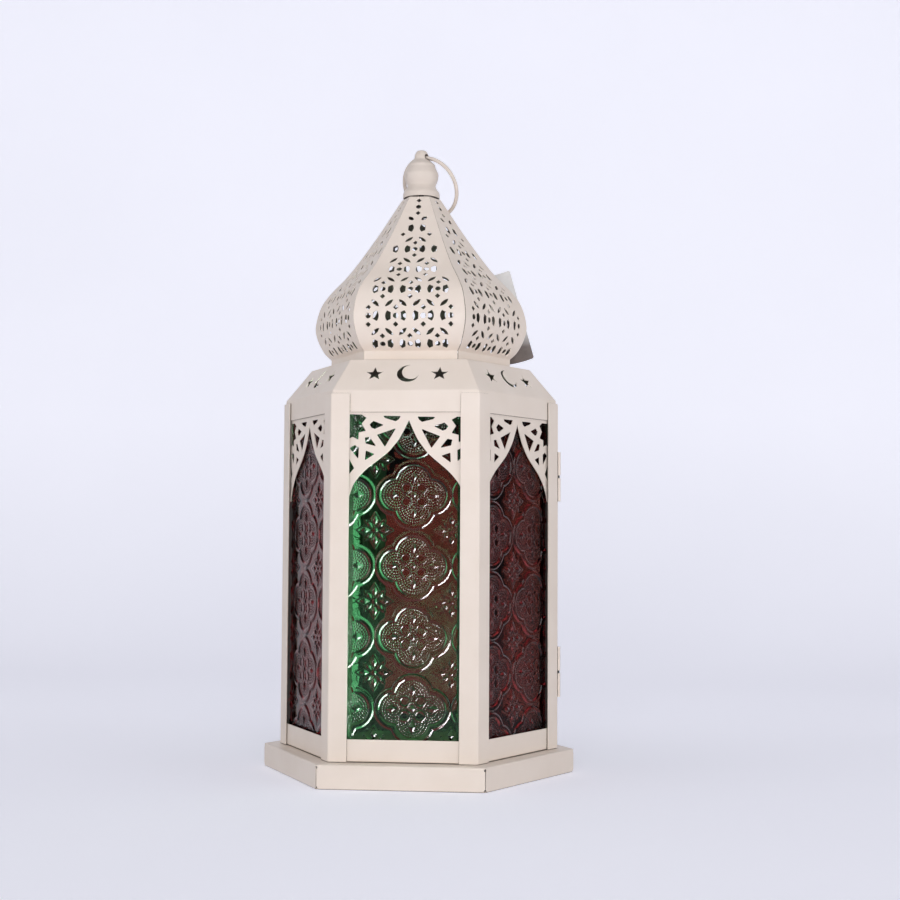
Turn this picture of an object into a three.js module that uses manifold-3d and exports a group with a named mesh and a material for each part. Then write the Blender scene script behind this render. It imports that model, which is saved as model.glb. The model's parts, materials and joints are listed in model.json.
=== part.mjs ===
// Six-sided candle lantern of painted sheet metal with coloured rolled glass, a pierced onion dome,
// a hinged door, a finial and a hanging ring.
// Millimetres, +Z up, origin at the bottom centre of the base. The front face looks along -Y.

import * as THREE from 'three';
import { mergeVertices } from 'three/addons/utils/BufferGeometryUtils.js';
import Module from 'manifold-3d';

const wasm = await Module();
wasm.setup();

// Driving dimensions

const SIDES = 6;
const gap = 0.3;                  // running and seating clearance between neighbours

// Base tray
const baseLedge = 12.4;           // how far the base's corners stand out past the body's
const baseHeight = 17.5;
const baseWall = 1.0;
const baseBend = 0.8;             // chamfer at the folded top edge
const baseLip = 6.0;              // inward lip that the tray stands on
const baseSlit = 0.8;             // open slit between two folded skirts

// Body
const bodyRadius = 107.1;         // corner radius over the corner posts
const postTop = 280.0;
const postWall = 1.0;
const postLeg = 13.55;            // visible leg width of a corner post
const doorPostLeg = 6.0;          // the leg that the door covers
const railWall = 0.8;
const railHeight = 16.2;
const railFoot = 8.0;             // width of the rail's foot on the base

// Shoulder roof
const flangeBottom = 266.6;
const shoulderBend = 282.4;
const shoulderTop = 306.6;
const shoulderTopRadius = 85.3;   // corner radius where the slope ends
const roofWall = 0.8;
const roofHoleRadius = 60.0;      // corner radius of the opening under the dome
const starRadius = 6.5;
const starInner = 2.7;
const starOffset = 23.7;          // star centre from the middle of the face
const starHeight = 15.6;          // star centre up the slope from the bend
const crescentRadius = 8.1;
const crescentBite = 6.7;         // radius of the circle that hollows the crescent
const crescentShift = 2.7;        // how far that circle lies from the crescent's centre
const crescentTurn = 33;          // direction that the crescent opens to, degrees
const crescentAside = 0.6;        // crescent centre from the middle of the face
const crescentHeight = 16.0;      // crescent centre up the slope from the bend

// Arch fretwork
const fretWall = 0.8;
const fretCover = 6.8;            // how far the fretwork reaches behind the window's edge
const fretFoot = 204.0;
const footSpread = 3.0;           // how far each leg of the arch spreads below its curve
const archDrop = 5.8;             // apex below the window's top edge
const frontFretShift = 2.6;       // the front face's arch is off centre and slightly turned
const frontFretTurn = -1.4;       // degrees

// Glass and its retainers
const glassThickness = 3.0;       // over the raised pattern
const glassCover = 2.6;           // how far the pane reaches behind the window's edge
const doorGlassCover = 1.4;
const glassAbove = 4.9;           // how far the pane reaches above the window's top edge
const retainerWall = 0.8;
const retainerLip = 5.0;          // how far the retainer reaches behind the glass

// Raised pattern of the glass: rims of quatrefoils in a grid
const patternPitch = 55.0;        // along the pane
const patternRow = 50.6;          // up the pane
const patternHeight = 0.85;
const patternRim = 3.4;           // width of a rim outside its lobes
const patternMargin = 0.5;        // plain border of the pane
const endLobeRadius = 12.5;       // upper and lower lobes
const endLobeShift = 8.8;
const sideLobeRadius = 11.2;
const sideLobeShift = 12.7;
const lobeSteps = 4;
// A quatrefoil's centre on each pane, along the pane and up.
const patternPlaces = {
  front: [6.2, 156.6],
  right: [24.4, 178.6],
  back_right: [6.2, 168.0],
  back: [-12.0, 160.0],
  back_left: [20.0, 150.0],
  left: [44.5, 178.7],
};

// Door
const doorWall = 0.9;
const doorBottom = 19.5;
const doorTop = 279.5;
const doorEdge = 1.7;             // door edge from the latch corner, along the face

// Hinges
const hingeHeight = 38.0;
const hingeCentres = [75.0, 224.0];
const hingeAlong = 2.0;           // barrel axis from the hinge corner, along the face
const barrelRadius = 1.5;
const pinRadius = 0.8;
const pinPlay = 0.05;
const knuckleGap = 2.0;
const leafWall = 0.6;
const fixedLeafWidth = doorPostLeg - hingeAlong - 0.2;
const doorLeafWidth = 10.0;

// Latch
const latchHeight = 150.0;
const latchInset = 8.4;           // latch stem from the latch corner, along the face
const stemRadius = 1.2;
const stemPlay = 0.05;
const tongueLength = 6.2;
const tongueWidth = 3.8;
const tongueWall = 1.0;
const gripLength = 11.0;
const gripWidth = 3.0;
const gripDepth = 5.0;
const gripCollarRadius = 3.2;
const gripCollarWall = 1.2;

// Dome petals: corner radius and height along the profile
const petalWall = 0.8;
const petalSeam = 0.25;           // half the open seam between two petals
const collarRadius = 70.0;        // upright collar that stands on the roof
const collarHeight = 7.6;
const bulgeRadius = 82.8;
const bulgeHeight = 340.5;
const neckRadius = 15.4;
const petalTop = 440.4;
const petalSteps = 10;

// Pierced pattern of the petals
const motifPitch = 20.4;          // spacing of the rosettes in one row
const motifRow = 21.6;            // spacing of the rows along the petal
const motifStart = 13.6;          // first row above the petal's lower edge
const motifRows = 6;
const bracketOffset = 5.75;
const bracketWidth = 4.3;
const bracketHeight = 8.0;
const bracketInner = 4.5;         // length of the bracket's straight inner edge
const slotLength = 8.1;
const slotWidth = 2.9;
const slotTurn = 42;              // slope of the slots, degrees
const slotRise = 9.8;             // slot centres above their rosettes' row
const petalBorder = 4.6;          // plain border beside the pattern

// Dome crown, finial and its fixing
const crownDrop = 10.4;           // crown plate below the petals' top
const crownWall = 1.2;
const finialSeat = 0.9;           // gap between the petals' top and the finial's rim
const rimRadius = 14.4;
const waistRadius = 11.15;
const waistRise = 9.7;            // waist above the rim
const bulbRadius = 13.35;
const bulbRise = 8.5;             // widest part of the bulb above the waist
const nubRadius = 5.7;
const nubRise = 20.5;             // top of the nub above the widest part of the bulb
const finialWall = 1.1;
const studRadius = 2.0;
const studCover = 4.8;            // metal between the stud's end and the ring's hole
const nutWidth = 7.0;             // across the flats
const nutHeight = 3.2;

// Hanging ring
const ringRadius = 24.1;
const ringWire = 1.5;
const ringDrop = 6.2;             // hole below the nub's top
const ringHoleRadius = 2.5;
const ringTurn = -30;             // direction of the hole, degrees from +X
const ringLean = 29.4;            // lean of the resting ring from straight down, degrees

// Blank card tag behind the dome, on a thread through two openings of the back right petal.
// Its place is in the frame of that face: x along the face, -y outward.
const tagLength = 77.0;
const tagWall = 0.5;
const tagCurl = 26.0;             // radius that the card curls to
const tagSpan = 80;               // how far round it curls, degrees
const tagCorner = new THREE.Vector3(26.6, -114.0, 325.5);   // lower outer corner
const tagUp = new THREE.Vector3(-0.239, 0.4175, 0.877).normalize();
const tagInward = new THREE.Vector3(0.115, 0.909, -0.4);
const tagHoleAt = 52;             // hole's place round the curl, degrees
const tagHoleDrop = 6.0;          // hole below the card's top edge
const tagHoleRadius = 1.8;
const threadRadius = 0.5;
const threadRow = 5;              // row of rosettes whose inner brackets the thread goes through

// Materials

function finish(color, roughness, metalness, extra = {}) {
  return new THREE.MeshStandardMaterial({ color, roughness, metalness, ...extra });
}

const creamPaint = finish(0xe6dcd0, 0.45, 0.1);
const steel = finish(0xb9b2a8, 0.4, 0.8);
const greenGlass = finish(0x0f8a3c, 0.15, 0.0, { transparent: true, opacity: 0.6 });
const card = finish(0xdcdad6, 0.8, 0.0);
const clearThread = finish(0xf2f2f0, 0.3, 0.0, { transparent: true, opacity: 0.6 });
const redGlass = finish(0x9a1220, 0.15, 0.0, { transparent: true, opacity: 0.6 });

// Geometry helpers

const COS = Math.cos(Math.PI / SIDES);
const TAN = Math.tan(Math.PI / SIDES);
const rad = THREE.MathUtils.degToRad;

function toSolid(geometry) {
  const bare = geometry.clone();
  bare.deleteAttribute('normal');
  bare.deleteAttribute('uv');
  const merged = mergeVertices(bare, 1e-4);
  return new wasm.Manifold(new wasm.Mesh({
    numProp: 3,
    vertProperties: new Float32Array(merged.attributes.position.array),
    triVerts: new Uint32Array(merged.index.array),
  }));
}

function fromSolid(solid) {
  const mesh = solid.getMesh();
  const geometry = new THREE.BufferGeometry();
  geometry.setAttribute('position', new THREE.BufferAttribute(new Float32Array(mesh.vertProperties), 3));
  geometry.setIndex(new THREE.BufferAttribute(new Uint32Array(mesh.triVerts), 1));
  geometry.computeVertexNormals();
  return geometry;
}

function join(...geometries) {
  return fromSolid(geometries.map(toSolid).reduce((a, b) => a.add(b)));
}

function cut(geometry, ...cutters) {
  let solid = toSolid(geometry);
  for (const cutter of cutters) solid = solid.subtract(toSolid(cutter));
  return fromSolid(solid);
}

// A box given by its lowest and highest corner.
function slab(x0, x1, y0, y1, z0, z1) {
  const box = new THREE.BoxGeometry(x1 - x0, y1 - y0, z1 - z0);
  return box.translate((x0 + x1) / 2, (y0 + y1) / 2, (z0 + z1) / 2);
}

// A solid turned about +Z from [radius, height] points.
function turned(points, segments) {
  const profile = points.map(([r, z]) => new THREE.Vector2(r, z));
  return new THREE.LatheGeometry(profile, segments).rotateX(Math.PI / 2);
}

// A six-sided solid about +Z from [corner radius, height] points, with a corner on +X.
function hexTurned(points) {
  return turned(points, SIDES).rotateZ(Math.PI / 2);
}

// An upright cylinder or tube.
function upright(radius, z0, z1, x = 0, y = 0, segments = 12) {
  const cylinder = new THREE.CylinderGeometry(radius, radius, z1 - z0, segments).rotateX(Math.PI / 2);
  return cylinder.translate(x, y, (z0 + z1) / 2);
}

// An outline drawn flat and pushed to a depth along +Z.
function flat(outline, depth) {
  const shape = new THREE.Shape(outline.map(([x, y]) => new THREE.Vector2(x, y)));
  return new THREE.ExtrudeGeometry(shape, { depth, bevelEnabled: false });
}

// A sheet in a front-face plane, from [along, up] points, with its outer side at a distance from the axis.
function facePlate(outline, holes, outer, thickness) {
  const sheet = flat(outline, thickness);
  const punches = holes.map((hole) => flat(hole, 3 * thickness).translate(0, 0, -thickness));
  const plate = holes.length > 0 ? cut(sheet, ...punches) : sheet;
  return plate.rotateX(Math.PI / 2).translate(0, thickness - outer, 0);
}

// Scene graph

const lantern = new THREE.Group();
const FACES = ['front', 'right', 'back_right', 'back', 'back_left', 'left'];
const CORNERS = ['front_right', 'right', 'back_right', 'back_left', 'left', 'front_left'];
const DOOR = FACES.indexOf('back_right');
const faceGroups = FACES.map((name, index) => {
  const group = new THREE.Group();
  group.rotation.z = index * 2 * Math.PI / SIDES;
  lantern.add(group);
  return group;
});

function add(parent, name, geometry, material) {
  const mesh = new THREE.Mesh(geometry, material);
  mesh.name = name;
  parent.add(mesh);
  return mesh;
}

// Sizes that follow from the driving ones

const baseRadius = bodyRadius + baseLedge;
const windowHalfWidth = bodyRadius / 2 - postLeg;
const windowBottom = baseHeight + railHeight + gap;
const archApex = flangeBottom - archDrop;
const fretHalfWidth = windowHalfWidth + fretCover;
const glassHalfWidth = windowHalfWidth + glassCover;
const doorGlassHalfWidth = windowHalfWidth + doorGlassCover;
const glassTop = flangeBottom + glassAbove;
const crownHeight = petalTop - crownDrop;
const rimBottom = petalTop + finialSeat;
const waistHeight = rimBottom + waistRise;
const bulbHeight = waistHeight + bulbRise;
const totalHeight = bulbHeight + nubRise;
const ringHeight = totalHeight - ringDrop;
const studTop = ringHeight - ringHoleRadius - studCover;

// Distances of the layers of one face from the axis, from the outside in

const faceOut = bodyRadius * COS;
const postIn = faceOut - postWall;
const railOut = postIn - gap;
const railIn = railOut - railWall;
const fretOut = railIn - gap;
const fretIn = fretOut - fretWall;
const glassOut = fretIn - gap;
const glassIn = glassOut - glassThickness;
const retainerOut = glassIn - gap;
const retainerIn = retainerOut - retainerWall;
const floor = baseHeight;

// Base tray with six folded skirts

function baseTray() {
  const inner = baseRadius - baseWall / COS;
  const profile = [
    [0, baseHeight],
    [0, baseHeight - baseWall],
    [inner, baseHeight - baseWall],
    [inner, baseWall],
    [baseRadius - baseLip, baseWall],
    [baseRadius - baseLip, 0],
    [baseRadius, 0],
    [baseRadius, baseHeight - baseBend],
    [baseRadius - baseBend, baseHeight],
    [0, baseHeight],
  ];
  const slits = CORNERS.map((name, index) => {
    const top = baseHeight - baseWall - baseBend;
    const slit = slab(baseRadius - 2 * baseLip, baseRadius + 1, -baseSlit / 2, baseSlit / 2, -1, top);
    return slit.rotateZ(index * 2 * Math.PI / SIDES);
  });
  return cut(hexTurned(profile), ...slits);
}

// Corner post: a bent strip with a leg on each neighbouring face. Drawn at the corner on +X.

function cornerPost(legBefore, legAfter) {
  const along = new THREE.Vector2(-0.5, Math.sin(Math.PI / 3));
  const outward = new THREE.Vector2(Math.sin(Math.PI / 3), 0.5);
  const corner = new THREE.Vector2(bodyRadius, 0);
  const innerCorner = new THREE.Vector2(bodyRadius - postWall / COS, 0);
  const endOuter = (leg) => corner.clone().addScaledVector(along, leg);
  const endInner = (leg) => endOuter(leg).addScaledVector(outward, -postWall);
  const mirror = (v) => new THREE.Vector2(v.x, -v.y);
  const shape = new THREE.Shape([
    corner,
    endOuter(legAfter),
    endInner(legAfter),
    innerCorner,
    mirror(endInner(legBefore)),
    mirror(endOuter(legBefore)),
  ]);
  const depth = postTop - floor - gap;
  return new THREE.ExtrudeGeometry(shape, { depth, bevelEnabled: false }).translate(0, 0, floor + gap);
}

// Bottom rail: an upright strip behind the posts with a foot on the base

function bottomRail() {
  const half = railIn * TAN - 2;
  const z0 = floor + gap;
  const strip = slab(-half, half, -railOut, -railIn, z0, floor + railHeight);
  const footHalf = (railOut - railFoot) * TAN - 1;
  const foot = slab(-footHalf, footHalf, -railOut, -railOut + railFoot, z0, z0 + railWall);
  return join(strip, foot);
}

// Shoulder roof: down-turned flange, slope and top plate in one sheet, with stars and a crescent

function starOutline(cx, cy, outer, inner) {
  return Array.from({ length: 10 }, (_, i) => {
    const r = i % 2 === 0 ? outer : inner;
    const a = Math.PI / 2 + i * Math.PI / 5;
    return [cx + r * Math.cos(a), cy + r * Math.sin(a)];
  });
}

// Crescent open to the upper right: an outer arc and the arc of the circle that hollows it.
function crescentOutline(cx, cy) {
  const turn = rad(crescentTurn);
  const bx = cx + crescentShift * Math.cos(turn);
  const by = cy + crescentShift * Math.sin(turn);
  const reach = (crescentShift ** 2 + crescentRadius ** 2 - crescentBite ** 2) / (2 * crescentShift);
  const outerHalf = Math.acos(reach / crescentRadius);
  const innerHalf = Math.acos((reach - crescentShift) / crescentBite);
  const steps = 5;
  const points = [];
  for (let i = 0; i <= steps; i += 1) {
    const a = turn + outerHalf + (2 * Math.PI - 2 * outerHalf) * i / steps;
    points.push([cx + crescentRadius * Math.cos(a), cy + crescentRadius * Math.sin(a)]);
  }
  for (let i = 1; i < steps; i += 1) {
    const a = turn - innerHalf - (2 * Math.PI - 2 * innerHalf) * i / steps;
    points.push([bx + crescentBite * Math.cos(a), by + crescentBite * Math.sin(a)]);
  }
  return points;
}

function shoulderRoof() {
  const flangeRadius = railOut / COS;
  const rise = shoulderTop - shoulderBend;
  const run = (flangeRadius - shoulderTopRadius) * COS;
  const slope = Math.hypot(rise, run);
  const wallCorner = roofWall / COS;
  const bendDrop = roofWall * (slope - run) / rise;
  const topDrop = wallCorner * (slope - run) / rise;
  const outline = [
    [flangeRadius, flangeBottom],
    [flangeRadius, shoulderBend],
    [shoulderTopRadius, shoulderTop],
    [roofHoleRadius, shoulderTop],
    [roofHoleRadius, shoulderTop - roofWall],
    [shoulderTopRadius - topDrop, shoulderTop - roofWall],
    [flangeRadius - wallCorner, shoulderBend - bendDrop],
    [flangeRadius - wallCorner, flangeBottom],
    [flangeRadius, flangeBottom],
  ];
  const marks = [
    starOutline(-starOffset, starHeight, starRadius, starInner),
    starOutline(starOffset, starHeight, starRadius, starInner),
    crescentOutline(crescentAside, crescentHeight),
  ];
  const tilt = Math.atan2(rise, run);
  const cutters = [];
  for (const mark of marks) {
    const depth = 6 * roofWall;
    const punch = flat(mark, depth);
    punch.translate(0, 0, -depth / 2).rotateX(tilt).translate(0, -railOut, shoulderBend);
    for (let i = 0; i < SIDES; i += 1) cutters.push(punch.clone().rotateZ(i * 2 * Math.PI / SIDES));
  }
  return cut(hexTurned(outline), ...cutters);
}

// Arch fretwork: a pointed arch between two pierced spandrels

// Left half of the arch edge, from the foot to the apex, as points from the apex.
const archEdge = [
  [-39.4, -48.8],
  [-36.6, -43.8],
  [-30.5, -36.8],
  [-22.7, -30.3],
  [-13.9, -22.8],
  [-6.7, -13.6],
  [-3.55, -7.6],
  [0, 0],
];

// Cut-outs of the left spandrel, from the apex.
const spandrelHoles = [
  [[-43.2, 3.2], [-34.3, 3.2], [-30.7, 0.9], [-34.0, -3.4], [-30.9, -8.5],
    [-36.0, -9.7], [-36.2, -15.1], [-40.3, -13.0], [-43.2, -14.6]],
  [[-28.4, -3.8], [-25.7, -1.2], [-18.0, -3.9], [-24.5, -7.0], [-26.9, -6.1]],
  [[-19.0, 2.7], [-6.0, 2.7], [-7.3, 0.4], [-9.5, -1.1], [-17.5, 1.1]],
  [[-22.9, -11.1], [-9.1, -6.0], [-16.8, -19.7]],
  [[-31.6, -13.3], [-28.0, -12.8], [-23.0, -19.4], [-30.8, -17.5]],
  [[-42.3, -21.2], [-38.6, -18.8], [-35.5, -20.7], [-35.8, -28.9]],
  [[-30.5, -22.6], [-24.0, -25.0], [-31.0, -29.7]],
  [[-43.2, -27.4], [-38.5, -35.5], [-43.2, -41.3]],
];

// A point given from the apex, on an arch that is shifted along the face and turned about its apex.
function archPoint([x, z], shift, turn) {
  const c = Math.cos(rad(turn));
  const s = Math.sin(rad(turn));
  return [shift + x * c - z * s, archApex + x * s + z * c];
}

function archFretwork(outer, shift = 0, turn = 0) {
  const place = (points) => points.map((point) => archPoint(point, shift, turn));
  const mirror = (points) => points.map(([x, z]) => [-x, z]);
  const left = place(archEdge);
  const right = place(mirror(archEdge)).reverse().slice(1);
  const outline = [
    [-fretHalfWidth, fretFoot],
    [left[0][0] - footSpread, fretFoot],
    ...left,
    ...right,
    [right.at(-1)[0] + footSpread, fretFoot],
    [fretHalfWidth, fretFoot],
    [fretHalfWidth, glassTop],
    [-fretHalfWidth, glassTop],
  ];
  const holes = [...spandrelHoles.map(place), ...spandrelHoles.map((hole) => place(mirror(hole)))];
  return facePlate(outline, holes, outer, fretWall);
}

// Glass pane: a rolled sheet with raised quatrefoil rims

// A quatrefoil about [0, 0], pushed out by a distance.
function quatrefoil(grow) {
  const ends = endLobeRadius + grow;
  const sides = sideLobeRadius + grow;
  const apart = Math.hypot(endLobeShift, sideLobeShift);
  const toMeeting = Math.acos((sides ** 2 + apart ** 2 - ends ** 2) / (2 * sides * apart));
  const towardsEnd = Math.PI - Math.atan2(endLobeShift, sideLobeShift);
  const sideHalf = towardsEnd - toMeeting;
  const meetX = sideLobeShift + sides * Math.cos(sideHalf);
  const meetY = sides * Math.sin(sideHalf);
  const endHalf = Math.atan2(meetX, meetY - endLobeShift);
  const points = [];
  for (const side of [1, -1]) {
    for (let i = 0; i < lobeSteps; i += 1) {
      const a = -sideHalf + 2 * sideHalf * i / lobeSteps;
      points.push([side * (sideLobeShift + sides * Math.cos(a)), side * sides * Math.sin(a)]);
    }
    for (let i = 0; i < lobeSteps; i += 1) {
      const a = endHalf - 2 * endHalf * i / lobeSteps;
      points.push([side * ends * Math.sin(a), side * (endLobeShift + ends * Math.cos(a))]);
    }
  }
  return points;
}

function glassPane(half, outer, top, [placeX, placeZ]) {
  const bottom = floor + railWall + 3 * gap + retainerWall;
  const face = -outer + patternHeight;
  const outline = quatrefoil(patternRim);
  const rim = facePlate(outline, [quatrefoil(0)], outer, 2 * patternHeight);
  const reachX = Math.max(...outline.map(([x]) => x));
  const reachZ = Math.max(...outline.map(([, z]) => z));
  const rims = [];
  for (let column = -2; column <= 2; column += 1) {
    for (let row = -4; row <= 4; row += 1) {
      const x = placeX + column * patternPitch;
      const z = placeZ + row * patternRow;
      const across = Math.abs(x) - reachX < half - patternMargin;
      const up = z + reachZ > bottom + patternMargin && z - reachZ < top - patternMargin;
      if (across && up) rims.push(rim.clone().translate(x, 0, z));
    }
  }
  const edge = half - patternMargin;
  const inside = slab(-edge, edge, -outer - 1, face + 1, bottom + patternMargin, top - patternMargin);
  const raised = toSolid(join(...rims)).intersect(toSolid(inside));
  const sheet = slab(-half, half, face, -outer + glassThickness, bottom, top);
  return fromSolid(toSolid(sheet).add(raised));
}

// Glass retainer: a channel strip up both sides and under the pane

function glassRetainer(half, outer, top, wallOuter, wallFrom, wallTo) {
  const side = half + gap;
  const inner = outer - retainerWall;
  const z0 = floor + railWall + 2 * gap;
  const lipTop = z0 + retainerWall + retainerLip;
  const behind = (x0, x1, z1) => slab(x0, x1, -outer, -inner, z0, z1);
  const wall = (x0) => slab(x0, x0 + retainerWall, -wallOuter, -inner, wallFrom, wallTo);
  const shelf = slab(-side, side, -outer - glassThickness - gap, -inner, z0, z0 + retainerWall);
  return join(
    behind(-side - retainerWall, -half + retainerLip, top),
    behind(half - retainerLip, side + retainerWall, top),
    behind(-side, side, lipTop),
    wall(-side - retainerWall),
    wall(side),
    shelf,
  );
}

// Five fixed faces

FACES.forEach((face, index) => {
  if (index === DOOR) return;
  const group = faceGroups[index];
  const glass = index % 2 === 0 ? greenGlass : redGlass;
  add(group, `bottom_rail_${face}`, bottomRail(), creamPaint);
  const fretwork = face === 'front' ? archFretwork(fretOut, frontFretShift, frontFretTurn) : archFretwork(fretOut);
  add(group, `arch_fretwork_${face}`, fretwork, creamPaint);
  add(group, `glass_pane_${face}`, glassPane(glassHalfWidth, glassOut, glassTop, patternPlaces[face]), glass);
  const wallFrom = floor + railHeight + 2 * gap;
  const retainer = glassRetainer(glassHalfWidth, retainerOut, glassTop, railOut, wallFrom, fretFoot - gap);
  add(group, `glass_retainer_${face}`, retainer, steel);
});

// Six corner posts; the two beside the door have a narrow leg under it

CORNERS.forEach((corner, index) => {
  const before = index === DOOR ? doorPostLeg : postLeg;
  const after = index === DOOR - 1 ? doorPostLeg : postLeg;
  const group = new THREE.Group();
  group.rotation.z = (index - 1) * 2 * Math.PI / SIDES;
  lantern.add(group);
  add(group, `corner_post_${corner}`, cornerPost(before, after), creamPaint);
});

add(lantern, 'base_tray', baseTray(), creamPaint);
add(lantern, 'shoulder_roof', shoulderRoof(), creamPaint);

// Door: frame, fretwork, glass and retainer in front of the two narrow post legs.
// The x of the door's group runs from the hinge corner to the latch corner.

const doorGroup = faceGroups[DOOR];
const hingeCorner = -bodyRadius / 2;
const leafOut = faceOut + gap + leafWall;
const doorIn = leafOut + gap;
const doorOut = doorIn + doorWall;
const barrelDistance = faceOut + gap + barrelRadius;
const barrelX = hingeCorner + hingeAlong;
const latchX = bodyRadius / 2 - latchInset;
const doorFretOut = doorIn - gap;
const doorGlassOut = doorFretOut - fretWall - gap;
const doorRetainerOut = doorGlassOut - glassThickness - gap;
const doorGlassTop = flangeBottom - 2 * gap;   // the door's glass swings out under the roof's flange

function doorFrame() {
  const x0 = barrelX + barrelRadius + gap;
  const x1 = bodyRadius / 2 - doorEdge;
  const outline = [[x0, doorBottom], [x1, doorBottom], [x1, doorTop], [x0, doorTop]];
  const window = [
    [-windowHalfWidth, windowBottom],
    [-windowHalfWidth, flangeBottom],
    [windowHalfWidth, flangeBottom],
    [windowHalfWidth, windowBottom],
  ];
  const sheet = facePlate(outline, [window], doorOut, doorWall);
  const stemHole = new THREE.CylinderGeometry(stemRadius + gap, stemRadius + gap, 4 * doorWall, 12);
  return cut(sheet, stemHole.translate(latchX, -doorOut, latchHeight));
}

add(doorGroup, 'door_frame', doorFrame(), creamPaint);
add(doorGroup, 'arch_fretwork_door', archFretwork(doorFretOut), creamPaint);
const doorPane = glassPane(doorGlassHalfWidth, doorGlassOut, doorGlassTop, patternPlaces.back_right);
const doorRetainer = glassRetainer(
  doorGlassHalfWidth,
  doorRetainerOut,
  doorGlassTop,
  doorFretOut,
  windowBottom + gap,
  fretFoot - gap,
);
add(doorGroup, 'glass_pane_door', doorPane, greenGlass);
add(doorGroup, 'glass_retainer_door', doorRetainer, steel);

// Hinges: the lower knuckle belongs to the post, the upper one to the door

function hingeLeaf(z0, z1, leafOuter, width) {
  const barrel = upright(barrelRadius, z0, z1, barrelX, -barrelDistance);
  const leaf = slab(barrelX, barrelX + width, -leafOuter, -leafOuter + leafWall, z0, z1);
  const bore = upright(pinRadius + pinPlay, z0 - 1, z1 + 1, barrelX, -barrelDistance);
  return cut(join(barrel, leaf), bore);
}

['lower', 'upper'].forEach((place, index) => {
  const bottom = hingeCentres[index] - hingeHeight / 2;
  const middle = hingeCentres[index];
  const top = hingeCentres[index] + hingeHeight / 2;
  const fixedLeaf = hingeLeaf(bottom, middle - knuckleGap / 2, leafOut, fixedLeafWidth);
  const doorLeaf = hingeLeaf(middle + knuckleGap / 2, top, doorOut + gap + leafWall, doorLeafWidth);
  const pin = upright(pinRadius, bottom + gap, top - gap, barrelX, -barrelDistance);
  add(doorGroup, `hinge_leaf_post_${place}`, fixedLeaf, creamPaint);
  add(doorGroup, `hinge_leaf_door_${place}`, doorLeaf, creamPaint);
  add(doorGroup, `hinge_pin_${place}`, pin, steel);
});

// Turn latch: a grip outside, a stem through the door and a tongue that turns behind the post leg

const tongueOut = postIn - gap;

function latchGrip() {
  const seat = doorOut + gap;
  const stemEnd = tongueOut - tongueWall - gap;
  const stem = new THREE.CylinderGeometry(stemRadius, stemRadius, seat - stemEnd + 1, 12);
  stem.translate(0, -(seat + stemEnd + 1) / 2, 0);
  const collar = new THREE.CylinderGeometry(gripCollarRadius, gripCollarRadius, gripCollarWall, 12);
  collar.translate(0, -seat - gripCollarWall / 2, 0);
  const root = -seat - gripCollarWall / 2;
  const half = gripWidth / 2;
  const wing = slab(-half, half, -seat - gripDepth, root, -gripLength / 2, gripLength / 2);
  return join(stem, collar, wing).translate(latchX, 0, latchHeight);
}

function latchTongue() {
  const half = tongueWidth / 2;
  const root = Array.from({ length: 9 }, (_, i) => {
    const a = Math.PI + i * Math.PI / 8;
    return [half * Math.cos(a), half * Math.sin(a)];
  });
  const outline = [
    ...root,
    [half, tongueLength - half / 2],
    [0, tongueLength],
    [-half, tongueLength - half / 2],
  ];
  const plate = facePlate(outline, [], tongueOut, tongueWall);
  const bore = new THREE.CylinderGeometry(stemRadius + stemPlay, stemRadius + stemPlay, 4 * tongueWall, 12);
  return cut(plate, bore.translate(0, -tongueOut, 0)).translate(latchX, 0, latchHeight);
}

add(doorGroup, 'latch_grip', latchGrip(), creamPaint);
add(doorGroup, 'latch_tongue', latchTongue(), steel);

// Dome petals: flat across, curved in profile, mitred to their neighbours

const collarBottom = shoulderTop + gap;
const petalProfile = [
  new THREE.Vector2(collarRadius * COS, collarBottom),
  ...new THREE.SplineCurve([
    [collarRadius, collarBottom + collarHeight],
    [75.6, 320.0],
    [80.9, 330.0],
    [bulgeRadius, bulgeHeight],
    [79.2, 355.0],
    [72.0, 366.0],
    [55.8, 383.0],
    [35.6, 410.0],
    [neckRadius, petalTop],
  ].map(([r, z]) => new THREE.Vector2(r * COS, z))).getPoints(petalSteps),
];

// The same profile pushed inward by a distance along its normal.
function offsetProfile(profile, distance) {
  return profile.map((point, i) => {
    const before = profile[Math.max(i - 1, 0)];
    const after = profile[Math.min(i + 1, profile.length - 1)];
    const direction = after.clone().sub(before).normalize();
    return new THREE.Vector2(point.x - direction.y * distance, point.y + direction.x * distance);
  });
}

const petalInside = offsetProfile(petalProfile, petalWall);

function petalShell() {
  const corners = [];
  petalProfile.forEach((outer, i) => {
    const inner = petalInside[i];
    const outerHalf = outer.x * TAN - petalSeam;
    const innerHalf = inner.x * TAN - petalSeam;
    corners.push([-outerHalf, -outer.x, outer.y]);
    corners.push([outerHalf, -outer.x, outer.y]);
    corners.push([innerHalf, -inner.x, inner.y]);
    corners.push([-innerHalf, -inner.x, inner.y]);
  });
  const indices = [];
  const quad = (a, b, c, d) => indices.push(a, b, c, a, c, d);
  const last = 4 * (petalProfile.length - 1);
  for (let row = 0; row < last; row += 4) {
    for (let side = 0; side < 4; side += 1) {
      const next = (side + 1) % 4;
      quad(row + side, row + next, row + 4 + next, row + 4 + side);
    }
  }
  quad(3, 2, 1, 0);
  quad(last, last + 1, last + 2, last + 3);
  const geometry = new THREE.BufferGeometry();
  geometry.setAttribute('position', new THREE.Float32BufferAttribute(corners.flat(), 3));
  geometry.setIndex(indices);
  return geometry;
}

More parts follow.
